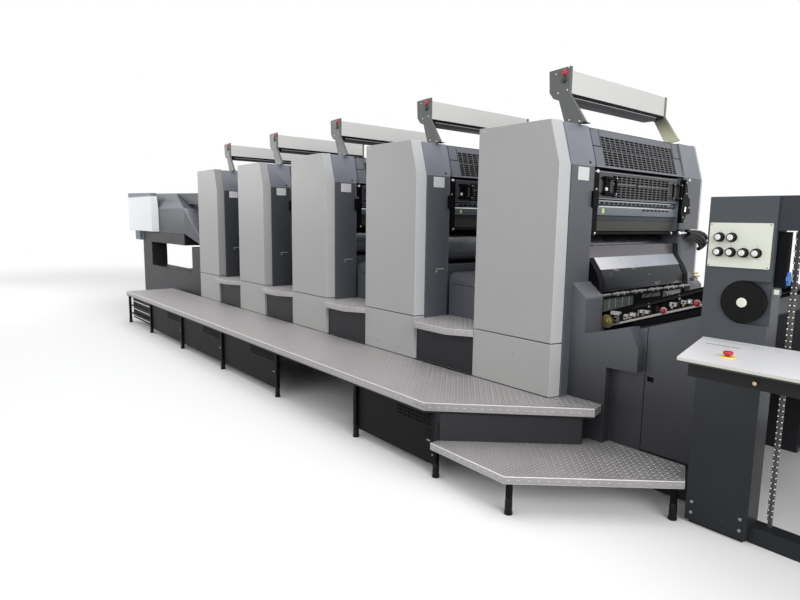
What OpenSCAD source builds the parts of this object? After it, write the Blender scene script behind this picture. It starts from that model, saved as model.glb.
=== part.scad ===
// Five-unit sheet-fed offset printing press: feeder, five units, delivery and galleries
// Built in a press frame: x = 0 at the first unit's cover, +x to the feeder,
// y = 0 at the operator's cover face, +y to the drive side, z = 0 on the floor

/* [Press body] */
// Width over the side covers
body_w = 1800; // [1740:10:1860]
// Distance from one printing unit to the next
unit_pitch = 1240; // [1200:10:1300]
// Height of the covers above the floor
cover_top = 2070; // [2040:5:2100]
// Height where the covers' shoulder starts to lean back
kink_z = 1812; // [1790:2:1830]
// Height of the joint between the upper and the lower cover
joint_z = 766; // [740:2:790]
// Length of a side cover along the press
cover_w = 628; // [600:2:640]
// Depth of a side cover
cover_d = 84; // [70:1:95]
// How far the cover's return strip flares out
flare_x = 19; // [10:1:25]
// How far the shoulder leans back at the top
shoulder_x = 73; // [50:1:90]
// Gap at the joint between the covers
joint_gap = 6; // [4:1:10]
// Depth of a side housing with its cover
tower_d = 330; // [315:5:345]
// Far face of a side housing, from the cover's edge
tower_x = 655; // [650:1:670]
// Rounding of the housing's inner corner
tower_r = 28; // [15:1:40]
// Front face of the core between the housings
core_x = 590; // [575:5:600]
// Back face of the core and of the housings
core_x0 = 14; // [5:1:30]
// How far the leaning grid lies behind the housings' face
grille_in = 8; // [4:1:14]

/* [Cylinders] */
// Radius of a plate or blanket cylinder
cyl_r = 135; // [120:1:140]
// Radius of a cylinder's journal
journal_r = 45; // [30:1:55]
// Distance of the cylinder's axis from the cover's edge
cyl_x = 430; // [425:1:440]
// Height of the blanket cylinder's axis
cyl_z = 1286; // [1280:1:1292]
// Space between a cylinder and its recess
cyl_clear = 12; // [8:1:16]

/* [Guards] */
// Upright web between two slots of a grid
web = 19; // [16:1:22]
// Web between two rows of slots
bar = 7; // [5:0.5:9]
// Distance from one slot to the next
cell_w = 57; // [54:1:60]
// Distance from one row of slots to the next
cell_h = 15.5; // [15:0.5:18]
// Plain height below a grid's slots
rim = 16; // [12:1:20]
// Plain height above the ink guard's slots
guard_rim = 24; // [18:1:28]
// Plain width beside the ink guard's slots on the operator's side
near_rim = 169; // [164:1:172]
// Plain width beside the ink guard's slots on the drive side
far_rim = 139; // [134:1:142]
// Plain height above the leaning grid's slots
grille_rim = 44; // [36:1:50]
// Plain width beside the leaning grid's slots
grille_side = 110; // [100:2:120]
// Width of the cheek between a housing and the guards
mech_w = 55; // [48:1:62]
// Thickness of a guard
guard_t = 14; // [10:1:16]
// Height of the ink guard
guard_h = 172; // [160:2:180]
// Height of the ink guard's hinge
hinge_z = 1792; // [1786:1:1796]
// Distance of the hinge from the housing's face
hinge_in = 32; // [26:1:36]
// Radius of the hinge pins
pin_r = 7; // [5:0.5:9]
// Running clearance round the pins
pin_clear = 0.1; // [0.05:0.01:0.1]
// Depth that a pin goes into the cheek
pin_depth = 12; // [8:1:18]
// Side clearance of what moves between the cheeks
side_clear = 6; // [5:0.5:8]
// Width of a handle loop on the ink guard
loop_w = 123; // [110:1:126]
// Height of a handle loop
loop_h = 106; // [96:1:108]
// How far a handle loop stands out from the guard's hinge
loop_out = 44; // [38:1:46]
// Distance of a handle loop below the hinge
loop_drop = 29; // [28:1:40]
// Thickness of a handle loop's tube
tube = 12; // [9:0.5:13]
// Height of the bright wash guard
wash_h = 66; // [50:2:70]
// Height of the wash guard's lower edge
wash_z = 1530; // [1526:1:1534]
// How far the wash guard stands out from the core
wash_out = 44; // [36:1:46]
// Height of the dark plate below the wash guard
plate_h = 98; // [80:2:100]
// Thickness of the dark plate
plate_t = 12; // [8:1:14]

/* [Overhead beams] */
// Height of a beam's underside
beam_z = 2250; // [2240:2:2270]
// Height of a beam's section
beam_h = 132; // [124:2:140]
// Width of a beam's section
beam_w = 112; // [95:1:120]
// Beam's axis, from the cover's edge
beam_x = 452; // [440:1:460]
// Thickness of a beam's arm
arm_t = 22; // [18:1:26]
// Height of the tray below a beam
tray_h = 44; // [36:1:48]
// Operator's side arm, from the cover face
arm_y = 222; // [212:1:232]
// Drive side arm, from the drive side's cover face
far_arm_y = 406; // [398:1:412]

/* [Galleries] */
// Height of the gallery deck
deck_z = 440; // [430:2:450]
// Reach of the gallery beyond the covers
deck_y = 645; // [630:5:660]
// Depth of the deck's nosing
deck_t = 60; // [50:1:70]
// Far end of the gallery, from the first cover
deck_x0 = 6080; // [6040:5:6120]
// Where the deck's diagonal edge begins
diag_x = 254; // [240:2:270]
// Where the deck's diagonal edge ends
diag_x1 = 918; // [910:1:930]
// Height of the lower step
step_z = 212; // [205:1:220]
// Thickness of the lower step
step_t = 42; // [36:1:50]
// Length of the lower step's outer edge
step_w = 565; // [550:5:580]
// Side of a post
post = 44; // [36:1:50]
// Distance between posts
bay = 1145; // [1130:5:1160]
// Nearest post of the bays, from unit 1's far cover edge
bay_x = 490; // [480:5:500]
// Thickness of a skirt panel
panel_t = 12; // [8:1:16]
// Height of a panel's lower edge
panel_z = 62; // [50:2:80]
// Height of the footboards between the units
board_z = 752; // [740:2:760]
// Thickness of a footboard
board_t = 46; // [36:1:50]
// Reach of a footboard in front of the covers
board_y = 98; // [60:2:110]
// Length of a footboard's slanted end at the near cover
board_c0 = 118; // [90:2:130]
// Length of a footboard's slanted end at the next cover
board_c1 = 172; // [140:2:190]
// Depth of the recess panels behind the cover face
recess_y = 18; // [12:1:30]
// Thickness of a recess panel
recess_t = 16; // [12:1:20]

/* [Infeed] */
// Face of the infeed's bracket and leg, from the cover face
leg_y = 152; // [140:1:160]
// Far end of the infeed's bracket
bracket_x1 = 1090; // [1084:1:1092]
// Face of the infeed's side panel
side_y = 222; // [210:1:230]
// Far end of the infeed's side panel
side_x1 = 1500; // [1490:1:1510]
// Near edge of the infeed door
door_x0 = 1105; // [1103:1:1108]
// Width of the infeed door
door_w = 292; // [280:1:300]
// Radius of the door's hinge barrels
barrel_r = 8; // [7:0.5:9]
// Height of a hinge knuckle
knuckle_h = 32; // [24:1:40]
// Thickness of the infeed door
door_t = 22; // [18:1:26]
// Gap round the infeed door
door_gap = 5; // [5:0.5:7]
// Height of the bracket's knee
knee_z = 1112; // [1104:2:1120]
// Reach of the bracket's knee
knee_x = 750; // [744:1:756]
// Height of the bracket's arm
arm_z = 913; // [908:1:918]
// Depth of the bracket's arm at its end
arm_h = 245; // [236:1:252]
// Depth of the bracket's arm behind its face
arm_d = 100; // [92:1:106]
// Thickness of the curved guard
curl_t = 6; // [5:0.5:8]
// Height of the curved guard's upper edge
infeed_top = 1346; // [1336:1:1350]
// Height of the curved guard
infeed_h = 280; // [270:1:284]
// Reach of the curved guard's lower edge from the core
infeed_out = 132; // [126:1:134]
// Lower end of the feed board, from the cover's edge
feed_x0 = 800; // [790:2:810]
// Height of the feed board's lower end
feed_z0 = 838; // [830:1:844]
// Slope of the feed board, in degrees
feed_angle = 20; // [18:0.5:22]
// Thickness of the feed board
feed_t = 24; // [18:1:30]
// Radius of the bars over the feed board
reg_r = 12; // [8:0.5:14]
// Height of those bars' axes above the feed board
reg_lift = 66; // [60:1:72]
// Distance from one bar to the next
reg_pitch = 130; // [110:5:140]
// Radius of a brush wheel
brush_r = 30; // [24:1:34]

/* [Feeder] */
// Near face of the operator's column
col_x = 1456; // [1450:1:1464]
// Width of a column
col_w = 284; // [276:1:290]
// Height of a column
col_h = 1610; // [1580:5:1630]
// Face of a column, from the cover face
col_y = 35; // [30:1:45]
// Depth of a column
col_d = 130; // [120:1:140]
// Far end of the feeder
feeder_x1 = 2650; // [2600:10:2700]
// Height of the floor rails
rail_h = 82; // [70:1:95]
// Height of the top side members
top_h = 150; // [130:2:170]
// Side of the back posts
back_post = 90; // [80:1:110]
// Depth of the cross beam that carries the suction head
head_beam = 80; // [70:2:84]
// Height of the suction head below its beam
head_h = 190; // [160:5:200]
// Length of the suction head along the press
head_w = 230; // [210:5:250]
// Length of a sucker
sucker_h = 80; // [60:2:90]
// Height of the pile board
pile_z = 780; // [760:5:800]
// Thickness of the pile board
pile_t = 44; // [36:1:50]
// Size of the hoist chains
chain = 16; // [12:1:18]
// Radius of the handwheel
wheel_r = 93; // [88:1:96]
// Rim width of the handwheel
wheel_t = 34; // [28:1:38]
// Distance of the handwheel's axis below the control panel
wheel_drop = 155; // [148:1:164]
// Handwheel's axis from the column's far face
wheel_in = 104; // [98:1:108]
// Clearance round the handwheel
wheel_clear = 6; // [5:0.5:8]
// Depth of the pocket round the handwheel
pocket_d = 26; // [20:1:30]
// Width of the control panel
ctrl_w = 262; // [254:1:266]
// Height of the control panel
ctrl_h = 202; // [194:1:210]
// Distance of the control panel from the column's top
ctrl_drop = 119; // [110:1:128]
// Thickness of the control panel
ctrl_t = 8; // [6:1:12]
// Radius of a control knob
knob_r = 22; // [18:0.5:23]
// Height of a control knob
knob_h = 26; // [20:1:30]
// Distance between control knobs
knob_pitch = 53.5; // [52.5:0.5:55]

/* [Console table] */
// Height of the table top
table_z = 950; // [940:2:960]
// Thickness of the table top
table_t = 20; // [16:1:26]
// Reach of the table in front of the covers
table_y = 500; // [490:5:520]
// Far end of the table
table_x1 = 2420; // [2380:5:2450]
// Radius of the stop button's head
stop_r = 19; // [16:0.5:21]
// Travel of the stop button
stop_travel = 5; // [4:0.5:6]

/* [Delivery] */
// Far end of the delivery, from the first cover
del_x0 = 8130; // [8100:5:8160]
// Near end of the light end cover
end_x1 = 6810; // [6780:5:6840]
// How far the light end cover stands out from the hood's side
end_out = 90; // [80:1:100]
// Height of the delivery hood at its far end
hood_top = 1876; // [1860:2:1890]
// How far the roof falls towards the last unit
roof_fall = 70; // [50:2:84]
// Height of the hood's side break
hood_break = 1608; // [1596:2:1624]
// Height of the hood's lower edge
hood_z = 1254; // [1246:2:1264]
// Width of the hood's slanted side
hood_slant = 130; // [110:2:150]
// Wall of the hood
hood_wall = 24; // [18:1:30]
// Near end of the level hood
hood_x1 = 5700; // [5660:5:5740]
// Near end of the level roof's slanted sides
roof_x = 6340; // [6300:5:6380]
// Depth of the roof's apron
roof_t = 156; // [146:2:166]
// Height of the slope where it meets the last unit
slope_z = 1130; // [1120:1:1140]
// Height of the slope's lower edge at the last unit
slope_z0 = 1088; // [1080:1:1096]
// Near side frame's length behind the last unit
side_x = 5420; // [5380:5:5460]
// Face of the delivery's side frames
frame_y = 60; // [50:1:70]
// Depth of the delivery's side frames
frame_d = 240; // [220:5:260]
// Height of the delivery's lower body
ledge_z = 712; // [700:2:724]
// Far face of the delivery's end post
dpost_x = 7680; // [7660:5:7700]
// Width of the delivery's end post
dpost_w = 460; // [440:5:480]

/* [Hidden] */
$fn = 48;
UNITS = [0, 1, 2, 3, 4];
KNOBS = [[0, 1], [1, 1], [0, 0], [1, 0], [2, 0], [3, 0]];
seat = 0.3;
eps = 1;
mid_x = (feeder_x1 - del_x0) / 2;
flare_a = atan(flare_x / cover_d);
lean_a = atan(shoulder_x * cos(flare_a) / (cover_top - kink_z));
lean_side = atan(shoulder_x / (cover_top - kink_z));
tower_top = cover_top - 10;
lower_top = joint_z - joint_gap / 2;
inner_w = body_w - 2 * tower_d;
hinge_x = tower_x - hinge_in;
guard_y = tower_d + mech_w;
guard_w = body_w - 2 * (guard_y + side_clear);
grille_x = tower_x - grille_in;
guard_top = hinge_z + guard_rim / 3;
grille_z = kink_z + 6;
grille_len = (tower_top - 8 - grille_z) / cos(lean_side);
diag_y1 = 41;
diag_y2 = leg_y - seat;
deck_x1 = 891;
bay_posts = [for (i = [0:4]) -bay_x - i * bay, -deck_x0 + 46];
under_deck = deck_z - deck_t;
step_x0 = 300;
step_x1 = step_x0 + step_w;
door_x1 = door_x0 + door_w;
barrel_x = door_x1 + door_gap / 2;
barrel_y = side_y - barrel_r - seat;
member_z = col_h;
member_z0 = member_z - top_h;
feed_rise = tan(feed_angle);
tie_z = feed_z0 + (col_x + 60 - feed_x0) * feed_rise - seat;
chain_x = [col_x + col_w + 60, feeder_x1 - back_post - 60];
chain_y = col_y + col_d - 30;
far_leaf = door_x1 + door_gap + 24;
HINGES = [320, 800];
leg_x1 = tower_x + 250;
panel_drop = 30;
panel_y = deck_y - 36;
gap_x1 = unit_pitch - 4;
wheel_x = col_x + col_w - wheel_in;
ctrl_z = col_h - ctrl_drop - ctrl_h;
wheel_z = ctrl_z - wheel_drop;
knob_x0 = col_x + 58;
knob_z0 = ctrl_z + 69;
knob_row = knob_pitch + 14;
knob_shaft = 4;
cheek = 14;
stop_x = col_x + 0.98 * col_w;
stop_y = -0.68 * table_y;
del_near = (len(UNITS) - 1) * unit_pitch;

// Places a piece built in the press frame so that the whole press stands centred
module press() {
  translate([-mid_x, -body_w / 2, 0]) children();
}

// Places a piece at printing unit k, counted from the feeder
module at_unit(k) {
  translate([-k * unit_pitch, 0, 0]) children();
}

// The same piece on the operator's side and mirrored on the drive side
module both_sides() {
  children();
  translate([0, body_w, 0]) mirror([0, 1, 0]) children();
}

// Extrudes an outline drawn in x and z from y0 to y1
module along_y(y0, y1) {
  translate([0, y1, 0]) rotate([90, 0, 0]) linear_extrude(y1 - y0) children();
}

// Extrudes an outline drawn in y and z from x0 to x1
module along_x(x0, x1) {
  translate([x0, 0, 0]) rotate([90, 0, 90]) linear_extrude(x1 - x0) children();
}

// A box between two corners
module block(a, b) {
  translate(a) cube(b - a);
}

// Rectangle with all four corners rounded
module rounded(w, h, r) {
  translate([r, 0]) square([w - 2 * r, h]);
  translate([0, r]) square([w, h - 2 * r]);
  for (x = [r, w - r], y = [r, h - r]) translate([x, y]) circle(r);
}

// Flat grid: a sheet with rows of punched slots between plain rims
module grid(w, h, near, far, high) {
  cols = round((w - near - far + web) / cell_w);
  rows = round((h - rim - high + bar) / cell_h);
  dx = (w - near - far + web) / cols;
  dy = (h - rim - high + bar) / rows;
  difference() {
    square([w, h]);
    for (i = [0:cols - 1], j = [0:rows - 1])
      translate([near + i * dx, rim + j * dy]) square([dx - web, dy - bar]);
  }
}

// Everything in front of the leaning shoulder, taken off the covers
module shoulder_cut() {
  reach = 700;
  translate([cover_w, 0, kink_z]) rotate([0, 0, -flare_a]) rotate([0, -lean_a, 0])
    translate([0, -reach / 2, -eps]) cube([reach, reach, reach]);
}

// Upper and lower light cover of one side
module side_cover() {
  plan = [[0, 0], [cover_w, 0], [cover_w + flare_x, cover_d], [0, cover_d]];
  difference() {
    translate([0, 0, joint_z + joint_gap / 2])
      linear_extrude(cover_top - joint_z - joint_gap / 2) polygon(plan);
    shoulder_cut();
  }
  translate([0, 0, deck_z + seat]) linear_extrude(lower_top - deck_z - seat) polygon(plan);
}

module unit_covers(k) {
  color([0.66, 0.67, 0.65]) press() at_unit(k) both_sides() side_cover();
}

// Outline of the housing from the side, with the leaning top
module tower_side() {
  lean = (tower_top - kink_z) * tan(lean_side);
  polygon([[core_x0, 0], [tower_x, 0], [tower_x, kink_z], [tower_x - lean, tower_top],
    [core_x0, tower_top]]);
}

// Dark housing behind one side cover
module tower() {
  intersection() {
    along_y(cover_d, tower_d) tower_side();
    union() {
      block([0, cover_d, 0], [tower_x - tower_r, tower_d, tower_top]);
      block([0, cover_d, 0], [tower_x, tower_d - tower_r, tower_top]);
      translate([tower_x - tower_r, tower_d - tower_r, 0]) cylinder(r = tower_r, h = tower_top);
    }
  }
}

// Core between the housings, with the recess for the cylinder
module core() {
  back = (guard_t + seat) / cos(lean_side);
  recess_r = cyl_r + cyl_clear;
  difference() {
    along_y(tower_d - eps, body_w - tower_d + eps)
      polygon([[core_x0 + 40, 0], [core_x, 0], [core_x, kink_z], [grille_x - back, kink_z],
        [grille_x - back - (tower_top - kink_z) * tan(lean_side), tower_top],
        [core_x0 + 40, tower_top]]);
    along_y(tower_d, body_w - tower_d) {
      translate([cyl_x, cyl_z]) circle(recess_r);
      translate([cyl_x, cyl_z - recess_r]) square([core_x, 2 * recess_r]);
    }
  }
}

module unit_housing(k) {
  color([0.33, 0.34, 0.37]) press() at_unit(k) {
    both_sides() tower();
    core();
  }
}

// Handle loop from y on, parallel to the guard, held at its outer edge post_y
module handle_loop(y, post_y) {
  out = hinge_x + loop_out;
  low = hinge_z - loop_drop - loop_h;
  for (z = [low, low + loop_h - tube]) {
    block([out - tube, y, z], [out, y + loop_w, z + tube]);
    block([hinge_x, post_y, z], [out, post_y + tube, z + tube]);
  }
  for (at = [y, y + loop_w - tube]) block([out - tube, at, low], [out, at + tube, low + loop_h]);
}

// Hinged grid guard with a handle loop at each end
module ink_guard(k) {
  end_y = guard_y + side_clear;
  near_y = end_y + near_rim - loop_w - tube;
  far_y = end_y + guard_w - loop_w - 2;
  color([0.12, 0.12, 0.13]) press() at_unit(k) {
    translate([hinge_x + guard_t / 2, end_y, guard_top - guard_h])
      rotate([90, 0, 90]) mirror([0, 0, 1]) linear_extrude(guard_t)
        grid(guard_w, guard_h, near_rim, far_rim, guard_rim);
    both_sides() translate([hinge_x, end_y + eps, hinge_z]) rotate([90, 0, 0])
      cylinder(r = pin_r, h = side_clear + pin_depth + eps);
    handle_loop(near_y, near_y);
    handle_loop(far_y, far_y + loop_w - tube);
  }
}

// Cheek beside the guards, with the bore for a hinge pin
module end_cheek() {
  nose = 12;
  difference() {
    block([core_x, tower_d, wash_z - plate_h], [tower_x - nose, guard_y, kink_z - eps]);
    translate([hinge_x, guard_y + eps, hinge_z]) rotate([90, 0, 0])
      cylinder(r = pin_r + pin_clear, h = pin_depth + 2 + eps);
  }
}

// Leaning top grid, bright wash guard, dark plate and end cheeks, all fixed to the core
module fixed_guards(k) {
  out = core_x + wash_out;
  fold = 16;
  hook = 24;
  rake = 8;
  side = 2;
  color([0.2, 0.2, 0.22]) press() at_unit(k) {
    both_sides() end_cheek();
    translate([grille_x - (grille_z - kink_z) * tan(lean_side), tower_d + side, grille_z])
      rotate([0, -lean_side, 0]) rotate([90, 0, 90]) mirror([0, 0, 1]) linear_extrude(guard_t)
        grid(inner_w - 2 * side, grille_len, grille_side, grille_side, grille_rim);
    along_y(guard_y, body_w - guard_y)
      polygon([[core_x, wash_z + fold / 2], [out, wash_z], [out, wash_z + wash_h - fold],
        [out - fold, wash_z + wash_h], [core_x, wash_z + wash_h]]);
    along_y(guard_y, body_w - guard_y)
      polygon([[core_x, wash_z - side], [out - plate_t, wash_z - side],
        [out - plate_t - rake, wash_z - plate_h], [out - 2 * plate_t - rake, wash_z - plate_h],
        [out - 2 * plate_t, wash_z - hook], [core_x, wash_z - hook]]);
  }
}

// Blanket cylinders, carried at their journals between the housings
module cylinders() {
  face = 26;
  color([0.45, 0.46, 0.48]) press() for (k = UNITS) at_unit(k)
    translate([cyl_x, body_w / 2, cyl_z]) rotate([90, 0, 0]) {
      cylinder(r = cyl_r, h = inner_w - 2 * face, center = true, $fn = 96);
      cylinder(r = journal_r, h = inner_w - 2 * seat, center = true);
    }
}

// White box beam across one unit on two cranked plates, with a tray below it
module overhead_beam() {
  base_x = tower_x - 23;
  toe = 46;
  near_foot = 142;
  far_foot = 107;
  half = beam_w / 2;
  front = beam_x + half + 5;
  back = beam_x - half - 37;
  beam_top = beam_z + beam_h;
  near_y = arm_y + arm_t;
  far_y = body_w - far_arm_y - arm_t;
  tray_in = 46;
  crank = [[base_x - toe, tower_top], [base_x, tower_top + 10], [front, beam_z - 4]];
  along_y(arm_y, near_y)
    polygon(concat([[base_x - near_foot, tower_top]], crank, [[front, beam_top + 22],
      [back, beam_top + 14], [back + 8, beam_z + 18], [back + 40, beam_z - 22],
      [beam_x - 14, beam_z - 36], [base_x - near_foot - 7, tower_top + 29]]));
  along_y(far_y, far_y + arm_t)
    polygon(concat([[base_x - far_foot, tower_top]], crank, [[front, beam_top],
      [beam_x - half, beam_top], [beam_x - half, beam_z], [beam_x - 14, beam_z - 30],
      [base_x - far_foot - 7, tower_top + 18]]));
  along_y(near_y - eps, far_y + eps)
    polygon([[beam_x - half, beam_z], [beam_x + half, beam_z], [beam_x + half, beam_top],
      [beam_x - half, beam_top]]);
  block([beam_x - half + 12, near_y + tray_in, beam_z - tray_h],
    [beam_x + half - 8, far_y - 2 * tray_in, beam_z + eps]);
}

module overhead_beams() {
  color([0.88, 0.88, 0.87]) press() for (k = UNITS) at_unit(k) overhead_beam();
}

// Base between the units, with the rounded guards over the transfer cylinders
module machine_bed() {
  hump_z = 1085;
  hump_r = 60;
  color([0.3, 0.31, 0.34]) press() for (k = [1:len(UNITS) - 1]) at_unit(k) {
    block([tower_x + seat, tower_d, 0], [unit_pitch + core_x0 - seat, body_w - tower_d, joint_z]);
    difference() {
      along_x(tower_x + seat, unit_pitch + core_x0 - seat)
        translate([tower_d, 0]) rounded(inner_w, hump_z, hump_r);
      block([0, 0, -eps], [2 * unit_pitch, body_w, joint_z - eps]);
    }
  }
}

// Tread-plate deck of one gallery, with its diagonal end
module gallery_deck() {
  outline = [[-deck_x0, -deck_y], [diag_x, -deck_y - 12], [diag_x1, diag_y1], [deck_x1, diag_y2],
    [tower_x + seat, diag_y2], [tower_x + seat, cover_d], [cover_w + flare_x, cover_d],
    [cover_w, -seat], [-deck_x0, -seat]];
  translate([0, 0, under_deck]) linear_extrude(deck_t) polygon(outline);
  lower = [[step_x0, -deck_y - 5], [step_x1, -deck_y - 12], [col_x - 2, 20], [col_x - 94, side_y - 2],
    [leg_x1 + seat, side_y - 2], [leg_x1 + seat, leg_y - seat], [leg_x1 - 88, leg_y - seat],
    [step_x0, -deck_y + 90]];
  translate([0, 0, step_z - step_t]) linear_extrude(step_t) polygon(lower);
}

module gallery_decks() {
  color([0.62, 0.63, 0.64]) press() both_sides() gallery_deck();
}

// One square post on a round levelling foot
module gallery_post(x, y, top) {
  foot_h = 22;
  translate([x - post / 2, y, foot_h - eps]) cube([post, post, top - foot_h + eps - seat]);
  translate([x, y + post / 2, 0]) cylinder(r = post * 0.55, h = foot_h);
}

module gallery_posts() {
  color([0.1, 0.1, 0.11]) press() both_sides() {
    for (x = bay_posts) gallery_post(x, -deck_y + 8, under_deck);
    for (x = [step_x0 + 26, step_x1 + 6]) gallery_post(x, -deck_y + 8, step_z - step_t);
    gallery_post(col_x - 44, -18, step_z - step_t);
  }
}

// Closed skirt panels between the posts, with a louvre field
module skirt_panel(x0, x1) {
  louvre = 12;
  pitch = 22;
  difference() {
    block([x0, -panel_y, panel_z], [x1, -panel_y + panel_t, under_deck - seat]);
    for (i = [1:4]) block([x1 - 0.45 * (x1 - x0), -panel_y - eps, under_deck - i * pitch],
      [x1 - 30, -panel_y + panel_t / 2, under_deck - i * pitch + louvre]);
  }
}

module gallery_panels() {
  gap = post / 2 + seat;
  color([0.2, 0.2, 0.22]) press() both_sides() {
    for (i = [1:3]) skirt_panel(bay_posts[i + 1] + gap, bay_posts[i] - gap);
    skirt_panel(-bay_x + gap, step_x0 - 4);
    for (z = [140, 250]) translate([bay_posts[5] + gap, -panel_y + 6, z]) rotate([0, 90, 0])
      cylinder(r = 9, h = bay_posts[4] - bay_posts[5] - 2 * gap);
    translate([0, 0, step_z + seat]) linear_extrude(under_deck - step_z - 2 * seat)
      polygon([[diag_x + 60, -deck_y + 60], [diag_x1 - 70, diag_y1 - 20], [diag_x1 - 70, diag_y1],
        [diag_x + 60, -deck_y + 80]]);
  }
}

// Tread boards between the units, with the dark recess panel below each
module footboards() {
  play = 2;
  flare_end = cover_w + flare_x + play;
  recess_x = cover_w + flare_x * (recess_y + recess_t) / cover_d + play;
  color([0.6, 0.61, 0.62]) press() both_sides() for (k = [1:len(UNITS) - 1]) at_unit(k) {
    translate([0, 0, board_z - board_t]) linear_extrude(board_t)
      polygon([[cover_w + play, -seat], [cover_w + board_c0, -board_y],
        [gap_x1 - board_c1, -board_y], [gap_x1, -seat], [gap_x1, tower_d - seat],
        [tower_x + seat, tower_d - seat], [tower_x + seat, cover_d - seat],
        [flare_end, cover_d - seat]]);
    block([recess_x, recess_y, deck_z + seat],
      [gap_x1, recess_y + recess_t, board_z - board_t - seat]);
  }
}

// Side outline of the infeed bracket's knee, which leans back to the housing
module knee_side() {
  knee_r = 30;
  lean = 40;
  nose = 15;
  from = [tower_x + nose, knee_z];
  mid = [knee_x - knee_r,
    knee_z - (knee_r + (knee_x - knee_r - from[0]) * sin(lean)) / cos(lean)];
  translate(mid) circle(knee_r);
  polygon([[tower_x + seat, deck_z + seat], [tower_x + seat, knee_z + nose], from,
    mid + knee_r * [sin(lean), cos(lean)], mid + [knee_r, 0], [knee_x, deck_z + seat]]);
}

// Side outline of the infeed bracket's arm, with its chamfered end
module arm_side() {
  fall = 79;
  nose = [53, 96];
  heel = 15;
  polygon([[tower_x + seat, deck_z + seat], [tower_x + seat, arm_z - fall],
    [knee_x + 6, arm_z - fall], [bracket_x1 - nose[0], arm_z],
    [bracket_x1 - heel, arm_z - nose[1]], [bracket_x1, arm_z - nose[1] - heel],
    [bracket_x1, arm_z - arm_h], [leg_x1, arm_z - arm_h - 6], [leg_x1, deck_z + seat]]);
}

// Side panel's top edge, below the feed board
function panel_top(x) = feed_z0 + (x - feed_x0) * feed_rise - panel_drop;

module infeed_side() {
  wall = 30;
  back_y = side_y + door_t + 8;
  near_x = door_x0 - door_gap;
  far_x = door_x1 + door_gap;
  along_y(leg_y, tower_d) knee_side();
  along_y(leg_y, leg_y + arm_d) arm_side();
  block([tower_x + seat, leg_y, 0], [leg_x1, tower_d, arm_z - arm_h - 6]);
  along_y(side_y, side_y + wall)
    polygon([[leg_x1 - eps, 0], [near_x, 0], [near_x, panel_top(near_x)],
      [leg_x1 - eps, panel_top(leg_x1)]]);
  along_y(side_y, back_y + wall)
    polygon([[far_x, 0], [side_x1, 0], [side_x1, panel_top(side_x1)], [far_x, panel_top(far_x)]]);
  along_y(back_y, back_y + wall)
    polygon([[near_x - eps, 0], [far_x + eps, 0], [far_x + eps, panel_top(far_x)],
      [near_x - eps, panel_top(near_x)]]);
}

// Outline of the curved guard, from its upper edge down, moved out
function curl(out) = [for (p = [[0.106, 0], [0.288, 0.021], [0.318, 0.279], [0.712, 0.536],
  [0.955, 0.771], [1, 1]]) [core_x + p[0] * infeed_out + out, infeed_top - p[1] * infeed_h]];

// Cheek at the end of the curved guard, standing on the knee
module curl_cheek() {
  proud = 6;
  low = infeed_top - infeed_h;
  along_y(tower_d + seat, guard_y - seat)
    polygon(concat([[core_x + seat, infeed_top]], curl(proud), [[core_x + seat, low]]));
  block([tower_x + seat, tower_d - eps, low], [core_x + 0.8 * infeed_out, tower_d + eps, low + 30]);
}

module infeed_housing() {
  color([0.35, 0.36, 0.39]) press() {
    both_sides() {
      infeed_side();
      curl_cheek();
    }
    for (z = HINGES) {
      block([barrel_x + barrel_r + 1, side_y - 3, z], [far_leaf, side_y + eps, z + knuckle_h]);
      block([barrel_x, barrel_y - 2, z], [barrel_x + barrel_r + 4, side_y - seat, z + knuckle_h]);
      translate([barrel_x, barrel_y, z]) {
        cylinder(r = barrel_r, h = knuckle_h);
        cylinder(r = barrel_r / 2, h = 2 * knuckle_h - 4);
      }
    }
  }
}

// Operator's side door below the feed board, hung at its far edge
module infeed_door() {
  pull = 12;
  pull_z = step_z + 0.57 * (panel_top(door_x0) - step_z);
  color([0.34, 0.35, 0.38]) press() {
    difference() {
      along_y(side_y, side_y + door_t)
        polygon([[door_x0, step_z + 8], [door_x1, step_z + 8], [door_x1, panel_top(door_x1)],
          [door_x0, panel_top(door_x0)]]);
      block([door_x0 + pull, side_y - eps, pull_z],
        [door_x0 + 4 * pull, side_y + pull, pull_z + 2 * pull]);
    }
    for (z = HINGES) difference() {
      translate([0, 0, z + knuckle_h + seat]) {
        block([door_x1 - 24, side_y - 3, 0], [door_x1, side_y + eps, knuckle_h - seat]);
        block([door_x1 - 12, barrel_y - 2, 0], [barrel_x, side_y - seat, knuckle_h - seat]);
        translate([barrel_x, barrel_y, 0]) cylinder(r = barrel_r, h = knuckle_h - seat);
      }
      translate([barrel_x, barrel_y, z]) cylinder(r = barrel_r / 2 + pin_clear, h = 3 * knuckle_h);
    }
  }
}

// Curved bright guard over the infeed, held between its two cheeks
module infeed_guard() {
  outer = curl(0);
  color([0.72, 0.73, 0.75]) press() along_y(guard_y, body_w - guard_y)
    polygon(concat(outer, [for (i = [len(outer) - 1:-1:0]) outer[i] - [curl_t * 2, curl_t]]));
}

// Places a piece on the feed board's slope, from its lower end
module on_feed() {
  translate([feed_x0, 0, feed_z0]) rotate([0, -feed_angle, 0]) children();
}

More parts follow.
